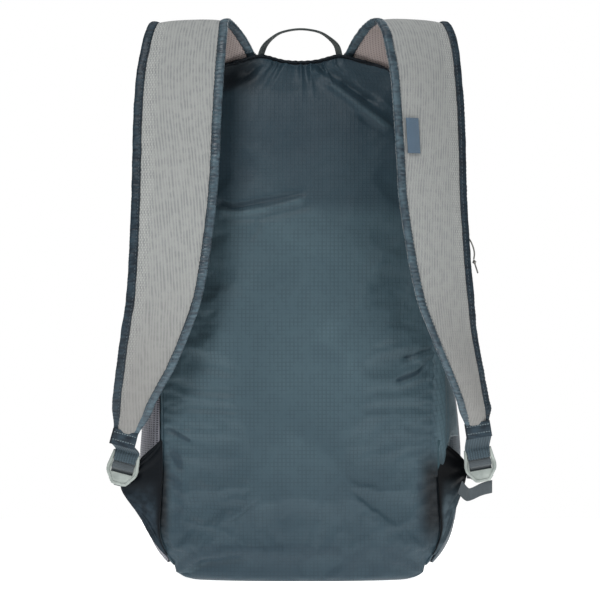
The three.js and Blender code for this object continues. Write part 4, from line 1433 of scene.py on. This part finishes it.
strap_cut = table(
    ["at", "width"],
    [
        [0.0, 0.8], [0.06, 0.87], [0.12, 0.9], [0.171, 0.955], [0.232, 0.99], [0.31, 1.0], [0.42, 0.99],
        [0.505, 0.97], [0.64, 0.91], [0.72, 0.86], [0.777, 0.8], [0.855, 0.68], [0.927, 0.51], [0.963, 0.43],
        [1.0, 0.36],
    ],
)
strap_columns = ["at", "x", "y", "z", "turn", "lean"]
strap_hang = {
    -1: table(
        strap_columns,
        [
            [0.0, 0.457, 0.42, 0.925, 0, 16],
            [0.04, 0.5, 0.44, 0.952, 0, 13],
            [0.08, 0.57, 0.52, 0.982, 1, 8],
            [0.12, 0.626, 0.63, 0.998, 3, 2],
            [0.16, 0.648, 0.75, 0.976, 5, 0],
            [0.19, 0.66, 0.82, 0.95, 6, 0],
            [0.25, 0.678, 0.89, 0.901, 6, 0],
            [0.33, 0.692, 0.93, 0.83, 6, 0],
            [0.42, 0.7, 0.96, 0.752, 6, 0],
            [0.505, 0.71, 0.975, 0.681, 6, 0],
            [0.64, 0.741, 0.98, 0.568, 7, 0],
            [0.72, 0.771, 0.955, 0.5, 8, 0],
            [0.777, 0.812, 0.91, 0.452, 8, 0],
            [0.855, 0.872, 0.82, 0.387, 8, 0],
            [0.927, 0.94, 0.71, 0.327, 6, 2],
            [0.963, 0.966, 0.65, 0.297, 4, 9],
            [1.0, 0.996, 0.6, 0.268, 2, 16],
        ],
    ),
    1: table(
        strap_columns,
        [
            [0.0, 0.457, 0.42, 0.925, 0, 16],
            [0.04, 0.5, 0.44, 0.952, 4, 13],
            [0.08, 0.57, 0.54, 0.982, 12, 8],
            [0.12, 0.634, 0.66, 0.998, 20, 1],
            [0.16, 0.672, 0.79, 0.978, 27, 0],
            [0.19, 0.69, 0.86, 0.952, 30, 0],
            [0.25, 0.712, 0.94, 0.901, 35, 0],
            [0.33, 0.728, 0.99, 0.83, 36, 0],
            [0.42, 0.739, 1.02, 0.752, 37, 0],
            [0.505, 0.749, 1.03, 0.681, 37, 0],
            [0.64, 0.788, 1.02, 0.568, 39, 0],
            [0.72, 0.823, 0.99, 0.5, 41, 0],
            [0.777, 0.859, 0.94, 0.452, 46, 0],
            [0.855, 0.922, 0.84, 0.387, 48, 0],
            [0.927, 0.977, 0.73, 0.33, 42, 1],
            [0.963, 0.999, 0.67, 0.305, 30, 5],
            [1.0, 1.01, 0.62, 0.284, 14, 9],
        ],
    ),
}


# %% [markdown]
# A strap is a surface round its middle line: a place along it and a distance aside give a point. Near the
# root the surface fades into the line along which the strap is sewn to the bag's top.

# %% The straps' surface
ROOT_FADE = 0.08


def shoulder(x, side):
    at = last_place(SIDE_TOP_PLACE, 1.0, lambda place: abs(back_seam(place, side).x) > x)
    chord = (front_seam(at, side) - back_seam(at, side)).length
    return gusset(at, ROOT_BEHIND / chord, side) + Vector((0.0, 0.0, ROOT_LIFT))


@functools.lru_cache(maxsize=None)
def strap_row(side, at):
    """The strap's middle, its direction outwards and its half width at a place."""
    rows = strap_hang[side]
    turn = math.radians(smooth(rows, "turn", at))
    lean = math.radians(smooth(rows, "lean", at))
    rise = math.sin(lean) if at > 0.5 else -math.sin(lean)
    outwards = Vector((side * math.cos(turn) * math.cos(lean), math.sin(turn), rise))
    middle = Vector(
        (
            side * smooth(rows, "x", at) * STRAP_SPREAD,
            -smooth(rows, "y", at) * STRAP_STAND,
            smooth(rows, "z", at) * STRAP_TOP,
        )
    )
    return middle, outwards, smooth(strap_cut, "width", at) * STRAP_WIDTH / 2


def strap_surface(side, aside, at):
    """The strap's middle surface: aside is the distance from its middle line, outwards."""
    place = min(max(at, 0.0), 1.0)
    middle, outwards, half = strap_row(side, place)
    share = aside / half
    crown = STRAP_CROWN * (1 - share**2) * step(place, 0.12, 0.3)
    point = middle + outwards * aside - Vector((0.0, crown, 0.0))
    fade = 1 - step(at, 0.0, ROOT_FADE)
    if fade > 0:
        point = point.lerp(shoulder(mixed(ROOT_INNER, ROOT_OUTER, (1 + share) / 2), side), fade)
    return point


def strap_half_width(at):
    return strap_row(1, min(max(at, 0.0), 1.0))[2]


def strap_face(side, aside, at):
    """A point of the strap's middle surface and the direction out of its outer face."""
    little = 0.0015
    across = strap_surface(side, aside + side * little, at) - strap_surface(side, aside - side * little, at)
    along = strap_surface(side, aside, at + little) - strap_surface(side, aside, max(at - little, 0.0))
    return strap_surface(side, aside, at), along.cross(across).normalized()


# %% [markdown]
# A pad is a closed cushion of spacer mesh, thick in its middle and pinched at its edges, where the
# binding holds it. Its section is a flat oval, run along the strap.

# %% Strap pads
PAD_REACH = 0.0045


def pad_place(side):
    def place(u, v):
        across, raised = oval(u, 0.75, 0.7)
        half = strap_half_width(v) - BINDING_WIDTH - BINDING_GAP + PAD_REACH
        point, out = strap_face(side, -half * across, v)
        thick = STRAP_THICKNESS / 2 * (0.55 + 0.45 * (1 - across**4))
        return point + out * raised * thick

    return place


def pad_relief(seed):
    def relief(u, v, point):
        return 0.25 * MM * (crumple(point, 0.05, seed) - 0.6)

    return relief


for word, side in SIDES:
    pad = tube_piece(f"strap_cushion_{word}", pad_place(side), 72, 200, pad_relief(71.0 + side))
    install(pad, strap_mesh, "spacer_mesh", f"strap_pad_{word}")

# %% [markdown]
# The binding is nylon tape folded round the pad's edge. It is full and soft, and it puckers: short
# creases lie across it wherever the stitches pull.

# %% Strap bindings
BINDING_DRAWN = 0.0032
STRAP_LENGTH = 0.52


def binding_place(side, sign):
    def place(u, v):
        across, raised = oval(u, 0.8, 0.8)
        middle = strap_half_width(v) - BINDING_WIDTH / 2 - BINDING_DRAWN * step(v, 0.95, 1.0)
        point, out = strap_face(side, sign * (middle + across * BINDING_WIDTH / 2), v)
        fuller_outside = 0.86 + 0.14 * math.cos(2 * math.pi * u)
        thick = BINDING_THICKNESS / 2 * fuller_outside * (1 - 0.5 * step(v, 0.93, 1.0))
        return point + out * raised * thick

    return place


def binding_relief(side, sign):
    seed = 81.0 + side + 3 * sign

    def relief(u, v, point):
        length = v * STRAP_LENGTH
        pulled = 0.5 + noise.noise(Vector((length / 0.03, seed + 5, u * 2)))
        faces = (0.25 + 0.75 * abs(math.sin(2 * math.pi * u))) * (1.0 if sign < 0 else 0.5)
        slack = noise.noise(Vector((length / 0.012, seed + 9, math.cos(2 * math.pi * u))))
        ends = step(v, 0.0, 0.02) * step(1 - v, 0.0, 0.02)
        puckers = 0.55 * MM * ripple(length, 0.0044, seed) * pulled * faces
        return (puckers + 0.4 * MM * slack - 0.3 * MM) * ends

    return relief


for word, side in SIDES:
    for edge, sign in (("inner", -1), ("outer", 1)):
        binding = tube_piece(
            f"strap_tape_{edge}_{word}", binding_place(side, sign), 28, 420, binding_relief(side, sign)
        )
        # Painted shade: the outer bindings take the darker copy of the tape.
        finish = inner_trim_lit if edge == "inner" else outer_trim_shaded
        install(binding, finish, "trim_cloth", f"strap_binding_{edge}_{word}")

# %% [markdown]
# A row of stitches runs along each binding beside the mesh. A stitch is a short raised thread, here a
# long narrow ball of a few faces, because there are hundreds of them. A line is walked, and one is set at
# each pitch.

# %% Stitches
STITCH_PITCH = 0.0032
STITCH_LENGTH = 0.0021
THREAD_RADIUS = 0.00032
STITCH_STEPS = 200
FIRST_STITCH = 32
LAST_STITCH = 192
STITCH_INSET = BINDING_WIDTH - 0.0022
STITCH_LIFT = BINDING_THICKNESS / 2 - 0.0001


def add_stitches(name, lines, pitch=STITCH_PITCH, length=STITCH_LENGTH, thread=THREAD_RADIUS):
    """Short raised threads along each line, which is a list of points with the direction out of the cloth."""
    mesh = bmesh.new()
    mesh.loops.layers.uv.new("weave")
    for line in lines:
        due = pitch / 2
        walked = 0.0
        for (start, out), (end, _) in zip(line, line[1:]):
            run = end - start
            while run.length and due < walked + run.length:
                along = run.normalized()
                side = along.cross(out).normalized()
                turn = Matrix((side, along, side.cross(along))).transposed().to_4x4()
                size = Matrix.Diagonal((thread, length / 2, thread, 1.0))
                place = Matrix.Translation(start + run * ((due - walked) / run.length))
                bmesh.ops.create_uvsphere(
                    mesh, u_segments=6, v_segments=4, radius=1.0, matrix=place @ turn @ size, calc_uvs=True
                )
                due += pitch
            walked += run.length
    return make_object(name, mesh)


def stitch_line(side, sign):
    line = []
    for k in range(FIRST_STITCH, LAST_STITCH + 1):
        at = k / STITCH_STEPS
        point, out = strap_face(side, sign * (strap_half_width(at) - STITCH_INSET), at)
        line.append((point + out * STITCH_LIFT, out))
    return line


for word, side in SIDES:
    stitches = add_stitches(f"strap_stitches_{word}", [stitch_line(side, sign) for sign in (-1, 1)])
    install(stitches, stitch_thread, "trim_cloth")

# %% [markdown]
# Everything at the strap's end is placed from its buckle: how far it hangs below the strap, how it is
# turned, and where its slots are.

# %% Where the buckles are
WEBBING_WIDTH = 0.0205
WEBBING_WALL = 0.0013
BUCKLE_WIDTH = 0.030
BUCKLE_HEIGHT = 0.031
BUCKLE_PLATE = 0.0032
BUCKLE_BAR = 0.0034
STRAP_SLOT = 0.0088
WEBBING_SLOT = 0.0046
BUCKLE_DROP = {-1: 0.034, 1: 0.039}
BUCKLE_TURN = {-1: -15, 1: 10}
BUCKLE_STAND = 0.056
BUCKLE_SPLAY = 0.09

strap_slot_high = BUCKLE_HEIGHT / 2 - BUCKLE_BAR
strap_slot_low = strap_slot_high - STRAP_SLOT
webbing_slot_high = strap_slot_low - BUCKLE_BAR
webbing_slot_low = webbing_slot_high - WEBBING_SLOT


def buckle_frame(side):
    end = strap_surface(side, 0.0, 1.0)
    turn = math.radians(BUCKLE_TURN[side])
    down = Vector((side * BUCKLE_SPLAY, 0.0, -1.0)).normalized()
    middle = end + down * BUCKLE_DROP[side]
    middle.y = -BUCKLE_STAND
    across = Vector((math.cos(turn), 0.0, math.sin(turn)))
    up = Vector((-math.sin(turn), 0.0, math.cos(turn)))
    return {"middle": middle, "across": across, "up": up, "out": Vector((0.0, -1.0, 0.0)), "end": end}


def on_buckle(place, u, v, w):
    return place["middle"] + place["across"] * u + place["up"] * v + place["out"] * w


# %% [markdown]
# Webbing keeps its width and bends only along its length, so a band is given by stations: a middle and
# the direction across at each. A smooth line runs through both. A small bevel rolls its cut edges.

# %% Bands of webbing


def curve_point(points, share):
    """A smooth line through points that runs evenly from one to the next."""
    spans = len(points) - 1
    k = min(max(int(share * spans), 0), spans - 1)
    t = share * spans - k
    before = points[max(k - 1, 0)] if k else points[0] * 2 - points[1]
    after = points[k + 2] if k + 2 <= spans else points[spans] * 2 - points[spans - 1]
    a, b = points[k], points[k + 1]
    straight = 2 * a + (b - before) * t
    bent = (2 * before - 5 * a + 4 * b - after) * t**2
    twisted = (3 * a - before - 3 * b + after) * t**3
    return 0.5 * (straight + bent + twisted)


def band_piece(name, stations, width, rows, wall=WEBBING_WALL, columns=10):
    """A band of webbing through stations, each with its middle and the direction across it."""
    middles = [middle for middle, _ in stations]
    crosses = [across for _, across in stations]

    def place(u, v):
        return curve_point(middles, v) + curve_point(crosses, v) * (u - 0.5) * width

    piece = sheet_piece(name, place, columns, rows, wall, None, inwards=False)
    rounding = piece.modifiers.new("rolled_edge", "BEVEL")
    rounding.width = wall * 0.3
    rounding.segments = 2
    rounding.limit_method = "ANGLE"
    return piece


# %% [markdown]
# Each strap ends in a sewn tab with two rows of stitches. A short webbing loop under it holds the
# ladderlock. The loop's stations are in bars above the upper slot's edge, in shares of its clearance, and
# in widths.

# %% Strap ends
TAB_LENGTH = 0.011
TAB_COVER = 0.0032
TAB_THICKNESS = 0.0046
TAB_WIDTH = 0.024
TAB_DROP = 0.0020
TAB_FORWARD = 0.0005
TAB_TURN = {-1: -15, 1: 9}
TAB_ROWS = (0.3, 0.78)
WIDE_START = 1.17
strap_loop = table(
    ["rise", "out", "wide"],
    [
        [1.5, 1.04, 1.14],
        [0.18, 1.12, 1.06],
        [-0.9, 1.12, 1.0],
        [-1.6, 0.9, 1.0],
        [-1.85, 0.0, 1.0],
        [-1.6, -0.9, 1.0],
        [-0.6, -1.12, 1.0],
        [1.88, -1.12, 1.0],
    ],
)


def add_strap_end(word, side):
    place = buckle_frame(side)
    lean = math.radians(TAB_TURN[side])
    across = Vector((math.cos(lean), 0.0, math.sin(lean)))
    down = -Vector((-math.sin(lean), 0.0, math.cos(lean)))
    tab_top = place["end"] + down * TAB_DROP - Vector((0.0, TAB_FORWARD, 0.0))

    def tab_place(u, v):
        wide, thick = oval(u, 0.45, 0.6)
        pinch = 1 - sum(0.16 * math.exp(-(((v - row) / 0.08) ** 2)) for row in TAB_ROWS)
        drop = mixed(TAB_LENGTH + SEAM_GAP, -TAB_COVER, v)
        through = Vector((0.0, thick * TAB_THICKNESS / 2 * pinch, 0.0))
        return tab_top + across * (wide * TAB_WIDTH / 2) + down * drop + through

    def tab_relief(u, v, point):
        return 0.1 * MM * (crumple(point, 0.012, 91.0) - 0.7)

    tab = tube_piece(f"strap_tab_{word}", tab_place, 48, 26, tab_relief)
    # Painted shade: the tab takes the outer bindings' copy of the tape, painted darker.
    install(tab, outer_trim_shaded, "trim_cloth", f"strap_end_{word}")
    lines = []
    for row in TAB_ROWS:
        start = tab_top + down * mixed(TAB_LENGTH, -TAB_COVER, row) + place["out"] * TAB_THICKNESS * 0.42
        lines.append([(start + across * TAB_WIDTH * t, place["out"]) for t in (-0.44, 0.0, 0.44)])
    install(add_stitches(f"tab_stitches_{word}", lines, 0.0024, 0.0020, 0.00045), tab_thread, "trim_cloth")

    clear = BUCKLE_PLATE / 2 + WEBBING_WALL / 2 + SEAM_GAP
    tab_foot = tab_top + down * (TAB_LENGTH - 0.0015)
    stations = [(tab_foot, across * WIDE_START)] + [
        (
            on_buckle(place, 0.0, strap_slot_high + row["rise"] * BUCKLE_BAR, row["out"] * clear),
            place["across"] * row["wide"],
        )
        for row in strap_loop
    ]
    short_webbing = band_piece(f"strap_webbing_{word}", stations, WEBBING_WIDTH, 60)
    install(short_webbing, strap_webbing, "webbing", f"end_webbing_{word}")


for word, side in SIDES:
    add_strap_end(word, side)

# %% [markdown]
# The adjusting webbing comes up behind the ladderlock, over its middle bar and down behind it again.
# Friction on the bar holds it. Its stations are heights on the buckle and distances out of it.

# %% Adjusting webbing
ADJUSTER_FOOT = {-1: 0.017, 1: 0.012}


def add_adjuster(word, side):
    place = buckle_frame(side)
    bar = (strap_slot_low + webbing_slot_high) / 2
    radius = BUCKLE_BAR / 2 + WEBBING_WALL / 2 + 1.5 * SEAM_GAP
    inner = BUCKLE_PLATE / 2 + WEBBING_WALL / 2 + 1.25 * SEAM_GAP
    outer = inner + WEBBING_WALL + SEAM_GAP
    foot = -ADJUSTER_FOOT[side]
    route = [
        (foot, -outer),
        (foot / 2, -outer),
        (bar, -outer),
        (bar + radius, -inner),
        (bar + 1.1 * radius, 0.0),
        (bar + 0.7 * radius, 0.8 * radius),
        (bar, radius),
        (bar - 0.7 * radius, 0.8 * radius),
        (bar - radius, 0.0),
        (webbing_slot_low + WEBBING_WALL, -0.7 * inner),
        (webbing_slot_low - 2 * WEBBING_WALL, -inner),
        (-0.4 * BUCKLE_HEIGHT, -inner),
    ]
    widths = [0.42, 0.8] + [1.0] * (len(route) - 2)
    stations = [
        (on_buckle(place, 0.0, up, out), place["across"] * width) for (up, out), width in zip(route, widths)
    ]
    piece = band_piece(f"adjusting_webbing_{word}", stations, WEBBING_WIDTH, 90)
    install(piece, webbing, "webbing", f"adjuster_{word}")


for word, side in SIDES:
    add_adjuster(word, side)

# %% [markdown]
# A ladderlock is moulded in one piece: a frame, a middle bar that grips the webbing, and a flared lip
# below. It starts from its own solid, whose flat faces are joined again, and every edge is then rounded
# as a mould rounds it.

# %% Ladderlocks
WELD = 0.00001
FLAT_ANGLE = 0.02
SHARP_ANGLE = 0.3
BUCKLE_ROUND = 0.0009


def joined_copy(node):
    """A copy of a solid's mesh, with its loose triangles joined into flat faces again."""
    mesh = bmesh.new()
    mesh.from_mesh(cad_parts[node].data)
    bmesh.ops.remove_doubles(mesh, verts=mesh.verts[:], dist=WELD)
    bmesh.ops.dissolve_limit(mesh, angle_limit=FLAT_ANGLE, verts=mesh.verts[:], edges=mesh.edges[:])
    return mesh


for word, side in SIDES:
    moulded = joined_copy(f"ladderlock_{word}")
    shared = [edge for edge in moulded.edges if len(edge.link_faces) == 2]
    bmesh.ops.bevel(
        moulded,
        geom=[edge for edge in shared if edge.calc_face_angle() > SHARP_ANGLE],
        offset=BUCKLE_ROUND,
        segments=4,
        profile=0.5,
        affect="EDGES",
        material=-1,
        clamp_overlap=True,
    )
    bmesh.ops.triangulate(moulded, faces=[face for face in moulded.faces if len(face.verts) > 4])
    install(make_object(f"buckle_{word}", moulded), plastic, "buckle", f"ladderlock_{word}")

# %% [markdown]
# A raised rim runs down both sides and round the lip, and leaves the lip's plate a little lower.

# %% Rims
RAIL_WIDTH = 0.0026
RAIL_HEIGHT = 0.0013
rail_line = table(
    ["across", "up"],
    [
        [-0.38, 0.475], [-0.41, 0.24], [-0.45, 0.0], [-0.43, -0.15], [-0.32, -0.31], [-0.2, -0.455],
        [0.0, -0.47],
        [0.2, -0.455], [0.32, -0.31], [0.43, -0.15], [0.45, 0.0], [0.41, 0.24], [0.38, 0.475],
    ],
)


def rail_place(side):
    place = buckle_frame(side)
    points = [
        on_buckle(place, row["across"] * BUCKLE_WIDTH, row["up"] * BUCKLE_HEIGHT, BUCKLE_PLATE / 2)
        for row in rail_line
    ]

    def line(at):
        return curve_point(points, at)

    def rail(u, v):
        aside = direction(line, v, 0.01).cross(place["out"])
        wide, tall = oval(u, 0.6, 0.6)
        return line(v) + aside * (wide * RAIL_WIDTH / 2) + place["out"] * (tall * RAIL_HEIGHT)

    return rail


for word, side in SIDES:
    rail = tube_piece(f"buckle_rim_{word}", rail_place(side), 20, 110)
    install(rail, plastic, "buckle")

# %% [markdown]
# The dark wings are triangles of cloth sewn into the side seams. They pull towards the webbing, so
# creases run from the seam to their points.

# %% Wings
WING_TOP = 0.131
WING_FOOT = 0.024
WING_REACH = 0.038
WING_WALL = 0.0014
WING_STAND_OFF = 0.0019
WING_APEX = {-1: 0.59, 1: 0.74}
WING_TURN = {-1: (6, 6), 1: (22, 62)}
wing_cut = table(
    ["at", "reach"],
    [[0.0, 0.05], [0.25, 0.42], [0.44, 0.9], [0.5, 1.0], [0.58, 0.97], [0.8, 0.56], [1.0, 0.05]],
)


def wing_surface(side, out, up):
    apex = WING_APEX[side]
    at = 0.5 * up / apex if up < apex else 0.5 + 0.5 * (up - apex) / (1 - apex)
    reach = smooth(wing_cut, "reach", min(max(at, 0.0), 1.0)) * WING_REACH * out
    seam = back_seam(place_at_height(mixed(WING_FOOT, WING_TOP, up)), side)
    near, far = WING_TURN[side]
    turn = math.radians(near + (far - near) * reach / (2 * WING_REACH))
    return seam + Vector(
        (side * (SEAM_GAP + reach * math.cos(turn)), reach * math.sin(turn) - WING_STAND_OFF, 0.0)
    )


for word, side in SIDES:

    def wing_place(u, v, side=side):
        return wing_surface(side, u if side > 0 else 1 - u, v)

    def wing_relief(u, v, point, side=side):
        out = u if side > 0 else 1 - u
        fan = (v - WING_APEX[side]) / (1.15 - 0.9 * out)
        crease = ripple(fan, 0.23, 95.0 + side)
        return 0.6 * MM * crease * math.sin(math.pi * min(max(out, 0.0), 1.0)) * step(min(v, 1 - v), 0.0, 0.1)

    wing = sheet_piece(f"wing_cloth_{word}", wing_place, 44, 110, WING_WALL, wing_relief, inwards=False)
    install(wing, wing_finish[side], "wing_cloth", f"wing_{word}")

# %% [markdown]
# On the right the webbing stands on edge between the wing and the ladderlock, and its loose end is folded
# back on itself. The fold's points are in widths of the tail from the buckle's foot.

# %% The right webbing
ANCHOR_BELOW = 0.004
TAIL_WIDTH = 0.012
tail_fold = table(
    ["x", "y", "z", "slant"],
    [
        [0.71, 0.17, -0.4, 0.0],
        [-0.08, 0.03, -0.6, 0.05],
        [-0.96, 0.02, -1.0, 0.1],
        [-1.3, 0.29, -0.97, 0.25],
        [-1.75, 0.67, -0.47, 0.35],
    ],
)
right_buckle = buckle_frame(1)
rear = BUCKLE_PLATE / 2 + 2.5 * WEBBING_WALL + 4.5 * SEAM_GAP
anchor_end = on_buckle(right_buckle, 0.0, -ANCHOR_BELOW, -rear)
anchor_start = wing_surface(1, 1.0, WING_APEX[1]) + Vector((SEAM_GAP, 0.0, 0.0))
anchor_start.z = anchor_end.z
upright = Vector((0.0, 0.0, 1.0))
anchor_run = [(point, upright) for point in (anchor_start, anchor_start.lerp(anchor_end, 0.5), anchor_end)]
anchor = band_piece("anchor_strip_right", anchor_run, WEBBING_WIDTH, 24)
install(anchor, webbing, "webbing", "anchor_webbing_right")

buckle_foot = on_buckle(right_buckle, 0.0, -BUCKLE_HEIGHT / 2, 0.0)
tail_middles = [buckle_foot + Vector((row["x"], row["y"], row["z"])) * TAIL_WIDTH for row in tail_fold]
tail_crosses = [Vector((row["slant"], 0.0, 1.0)).normalized() for row in tail_fold]
tail_stations = list(zip(tail_middles, tail_crosses))
tail = band_piece("webbing_tail_right", tail_stations, TAIL_WIDTH, 60)
install(tail, webbing, "webbing", "adjuster_tail_right")

# %% [markdown]
# The grab loop is narrow webbing between the two straps. Its feet face the harness side, and its middle
# lies flat, so it shows only its edge there.

# %% Grab loop
LOOP_RISE = 0.023
LOOP_WIDTH = 0.010
LOOP_FOOT_WIDTH = 0.0062
LOOP_WALL = 0.0013
loop_rows = table(
    ["span", "rise", "turn"],
    [
        [-1.0, -0.12, 30],
        [-0.9, 0.3, 55],
        [-0.72, 0.62, 75],
        [-0.45, 0.88, 86],
        [0.0, 1.0, 90],
        [0.45, 0.9, 94],
        [0.72, 0.66, 105],
        [0.92, 0.33, 125],
        [1.0, -0.12, 150],
    ],
)
loop_foot = BAG_HEIGHT + hem_lift(LOOP_HALF_SPAN, BAG_HEIGHT) + HEM_LIFT + HEM_WALL + SEAM_GAP
loop_middles = [
    Vector((row["span"] * LOOP_HALF_SPAN, hem_y, loop_foot + row["rise"] * LOOP_RISE)) for row in loop_rows
]
loop_turns = [math.radians(row["turn"]) for row in loop_rows]
loop_crosses = [Vector((math.cos(turn), math.sin(turn), 0.0)) for turn in loop_turns]


def loop_place(u, v):
    width = mixed(LOOP_FOOT_WIDTH, LOOP_WIDTH, math.sin(math.pi * v))
    return curve_point(loop_middles, v) + curve_point(loop_crosses, v) * (u - 0.5) * width


loop = sheet_piece("carry_loop", loop_place, 8, 120, LOOP_WALL, None, inwards=False)
install(loop, loop_webbing, "webbing", "grab_loop")

# %% [markdown]
# A small folded tape is caught in the right strap's inner seam. It is left plain.

# %% Side tape
LABEL_WIDTH = 0.014
LABEL_LENGTH = 0.032
LABEL_WALL = 0.0011
LABEL_HEIGHT = 0.410


def strap_place(height):
    return last_place(0.12, 1.0, lambda at: smooth(strap_hang[1], "z", at) * STRAP_TOP > height)


def label_place(u, v):
    at = strap_place(LABEL_HEIGHT + LABEL_LENGTH * (0.5 - v))
    edge = BINDING_WIDTH + BINDING_GAP - strap_half_width(at)
    point, out = strap_face(1, edge + LABEL_WIDTH * u, at)
    roll = 0.5 * MM * math.sin(math.pi * u)
    return point + out * (STRAP_THICKNESS / 2 + SEAM_GAP + LABEL_WALL + roll)


label = sheet_piece("side_tape", lambda u, v: label_place(u, 1 - v), 16, 30, LABEL_WALL)
install(label, label_tape, "label_cloth", "side_label")

# %% [markdown]
# The zip's slider is a small moulding, which starts from its own solid too.

# %% Slider
SLIDER_ROUND = 0.0011
slider_mesh = joined_copy("zip_slider")
bmesh.ops.bevel(
    slider_mesh,
    geom=slider_mesh.edges[:],
    offset=SLIDER_ROUND,
    segments=4,
    profile=0.5,
    affect="EDGES",
    material=-1,
)
install(make_object("slider_body", slider_mesh), zip_plastic, "buckle", "zip_slider")

# %% [markdown]
# The slider's pull is a cord. Its length is what the photo shows: it leaves the slider outwards, bends
# over and hangs to its knot. The route is in millimetres from where it leaves the slider.

# %% Pull cord
SLIDER_ABOVE = 0.025
SLIDER_HEIGHT = 0.004
CORD_DIAMETER = 0.0014
CORD_LEAN = Vector((0.0, 1.0, 0.0))
cord_route = [
    (0.0, 0.0, 0.0),
    (2.2, -0.4, 0.6),
    (4.6, -1.0, 1.3),
    (7.0, -1.7, 1.6),
    (9.4, -2.4, 1.2),
    (11.6, -3.1, 0.0),
    (13.5, -3.7, -1.8),
    (15.2, -4.2, -4.0),
    (16.7, -4.6, -6.5),
    (17.9, -4.9, -9.2),
    (18.9, -5.1, -12.0),
    (19.6, -5.2, -14.9),
    (19.9, -5.3, -17.8),
    (19.7, -5.3, -20.6),
    (19.2, -5.3, -23.2),
]
slider_place = gusset(place_at_height(ZIP_END_HEIGHT + SLIDER_ABOVE), 0.5, 1)
cord_start = slider_place + Vector((ZIP_LIFT + ZIP_WALL + 2 * SEAM_GAP + SLIDER_HEIGHT, 0.0, 0.0))
cord_points = [cord_start + Vector(offset) * MM for offset in cord_route]


def round_tube(points, radius_at):
    """A closed tube round a smooth line, whose radius may change along it."""

    def line(at):
        return curve_point(points, at)

    def place(u, v):
        share = min(max(v, 0.0), 1.0)
        return ring(line(share), direction(line, share, 0.01), CORD_LEAN, u, radius_at(share))

    return place


cord = tube_piece("pull_cord_braid", round_tube(cord_points, lambda v: CORD_DIAMETER / 2), 12, 90)
install(cord, cord_braid, "cord", "pull_cord")

# %% [markdown]
# The knot is a swelling with a few turns of cord on it, and a short end sticks out below it. The cord's
# length to its knot is then summed and printed.

# %% Knot
KNOT_DIAMETER = 0.0036
KNOT_TAIL = 0.009
knot_start = cord_points[-1] - Vector((0.0, 0.0, SEAM_GAP))
knot_way = Vector((0.32, 0.0, -1.0)).normalized()
knot_height = 2.3 * KNOT_DIAMETER / 2
knot_line = [knot_start + knot_way * (knot_height + KNOT_TAIL) * k / 4 for k in range(5)]


def knot_radius(share):
    down = share * (knot_height + KNOT_TAIL)
    swell = math.sin(math.pi * min(down / knot_height, 1.0)) ** 0.6 if down < knot_height else 0.0
    coil = 1 + 0.14 * math.sin(2 * math.pi * down / (knot_height * 0.42))
    return max(CORD_DIAMETER / 2, KNOT_DIAMETER / 2 * swell * coil)


knot = tube_piece("cord_end_knot", round_tube(knot_line, knot_radius), 14, 70)
install(knot, cord_braid, "cord", "cord_knot")
cord_length = sum((b - a).length for a, b in zip(cord_points, cord_points[1:]))
tuple(cord_points[0])
[tuple(point) for point in cord_points]
print("cord to its knot, in metres:", round(cord_length, 4))

# %% [markdown]
# The studio is a pale floor that runs into a white background, a broad light from above and in front, and
# weaker ones from the other side, from straight above and from behind, so that the folds show without
# hard shadows.

# %% Studio
floor_mesh = bmesh.new()
bmesh.ops.create_grid(floor_mesh, x_segments=1, y_segments=1, size=0.8)
floor = make_object("floor", floor_mesh)
floor.location.z = -0.0002
floor_finish = Finish("floor_paint", Roughness=0.9, Specular_IOR_Level=0.1, Emission_Strength=0.93)
floor_finish.shader.inputs["Emission Color"].default_value = (1.0, 1.0, 1.0, 1.0)
grain = floor_finish.clouds(0.4, 2.0)
floor.data.materials.append(floor_finish.wear(floor_finish.mix(grain, linear("f6f6f5"), linear("fbfbfa"))))

world = bpy.data.worlds.new("studio")
world.use_nodes = True
bpy.context.scene.world = world
background = world.node_tree.nodes["Background"]
background.inputs["Strength"].default_value = 1.0
path = world.node_tree.nodes.new("ShaderNodeLightPath")
blend = world.node_tree.nodes.new("ShaderNodeMix")
blend.data_type = "RGBA"
blend.inputs[6].default_value = (0.16, 0.165, 0.17, 1.0)
blend.inputs[7].default_value = (1.0, 1.0, 1.0, 1.0)
world.node_tree.links.new(path.outputs["Is Camera Ray"], blend.inputs[0])
world.node_tree.links.new(blend.outputs[2], background.inputs["Color"])


def add_light(name, place, aim, size, power):
    data = bpy.data.lights.new(name, "AREA")
    data.shape = "SQUARE"
    data.size = size
    data.energy = power
    lamp = bpy.data.objects.new(name, data)
    lamp.location = place
    lamp.rotation_euler = (Vector(aim) - Vector(place)).to_track_quat("-Z", "Y").to_euler()
    bpy.context.collection.objects.link(lamp)


add_light("key_light", (-0.7, -1.7, 1.7), (0.0, 0.0, 0.3), 0.8, 25)
add_light("fill_light", (1.5, -1.6, 0.9), (0.0, 0.0, 0.3), 1.0, 9)
add_light("top_light", (0.0, 0.2, 2.2), (0.0, 0.0, 0.2), 1.2, 6)
add_light("back_light", (0.9, 1.9, 1.2), (0.0, 0.0, 0.25), 1.2, 14)
bpy.context.scene.view_settings.view_transform = "Standard"
print("lights:", len(bpy.data.lights))
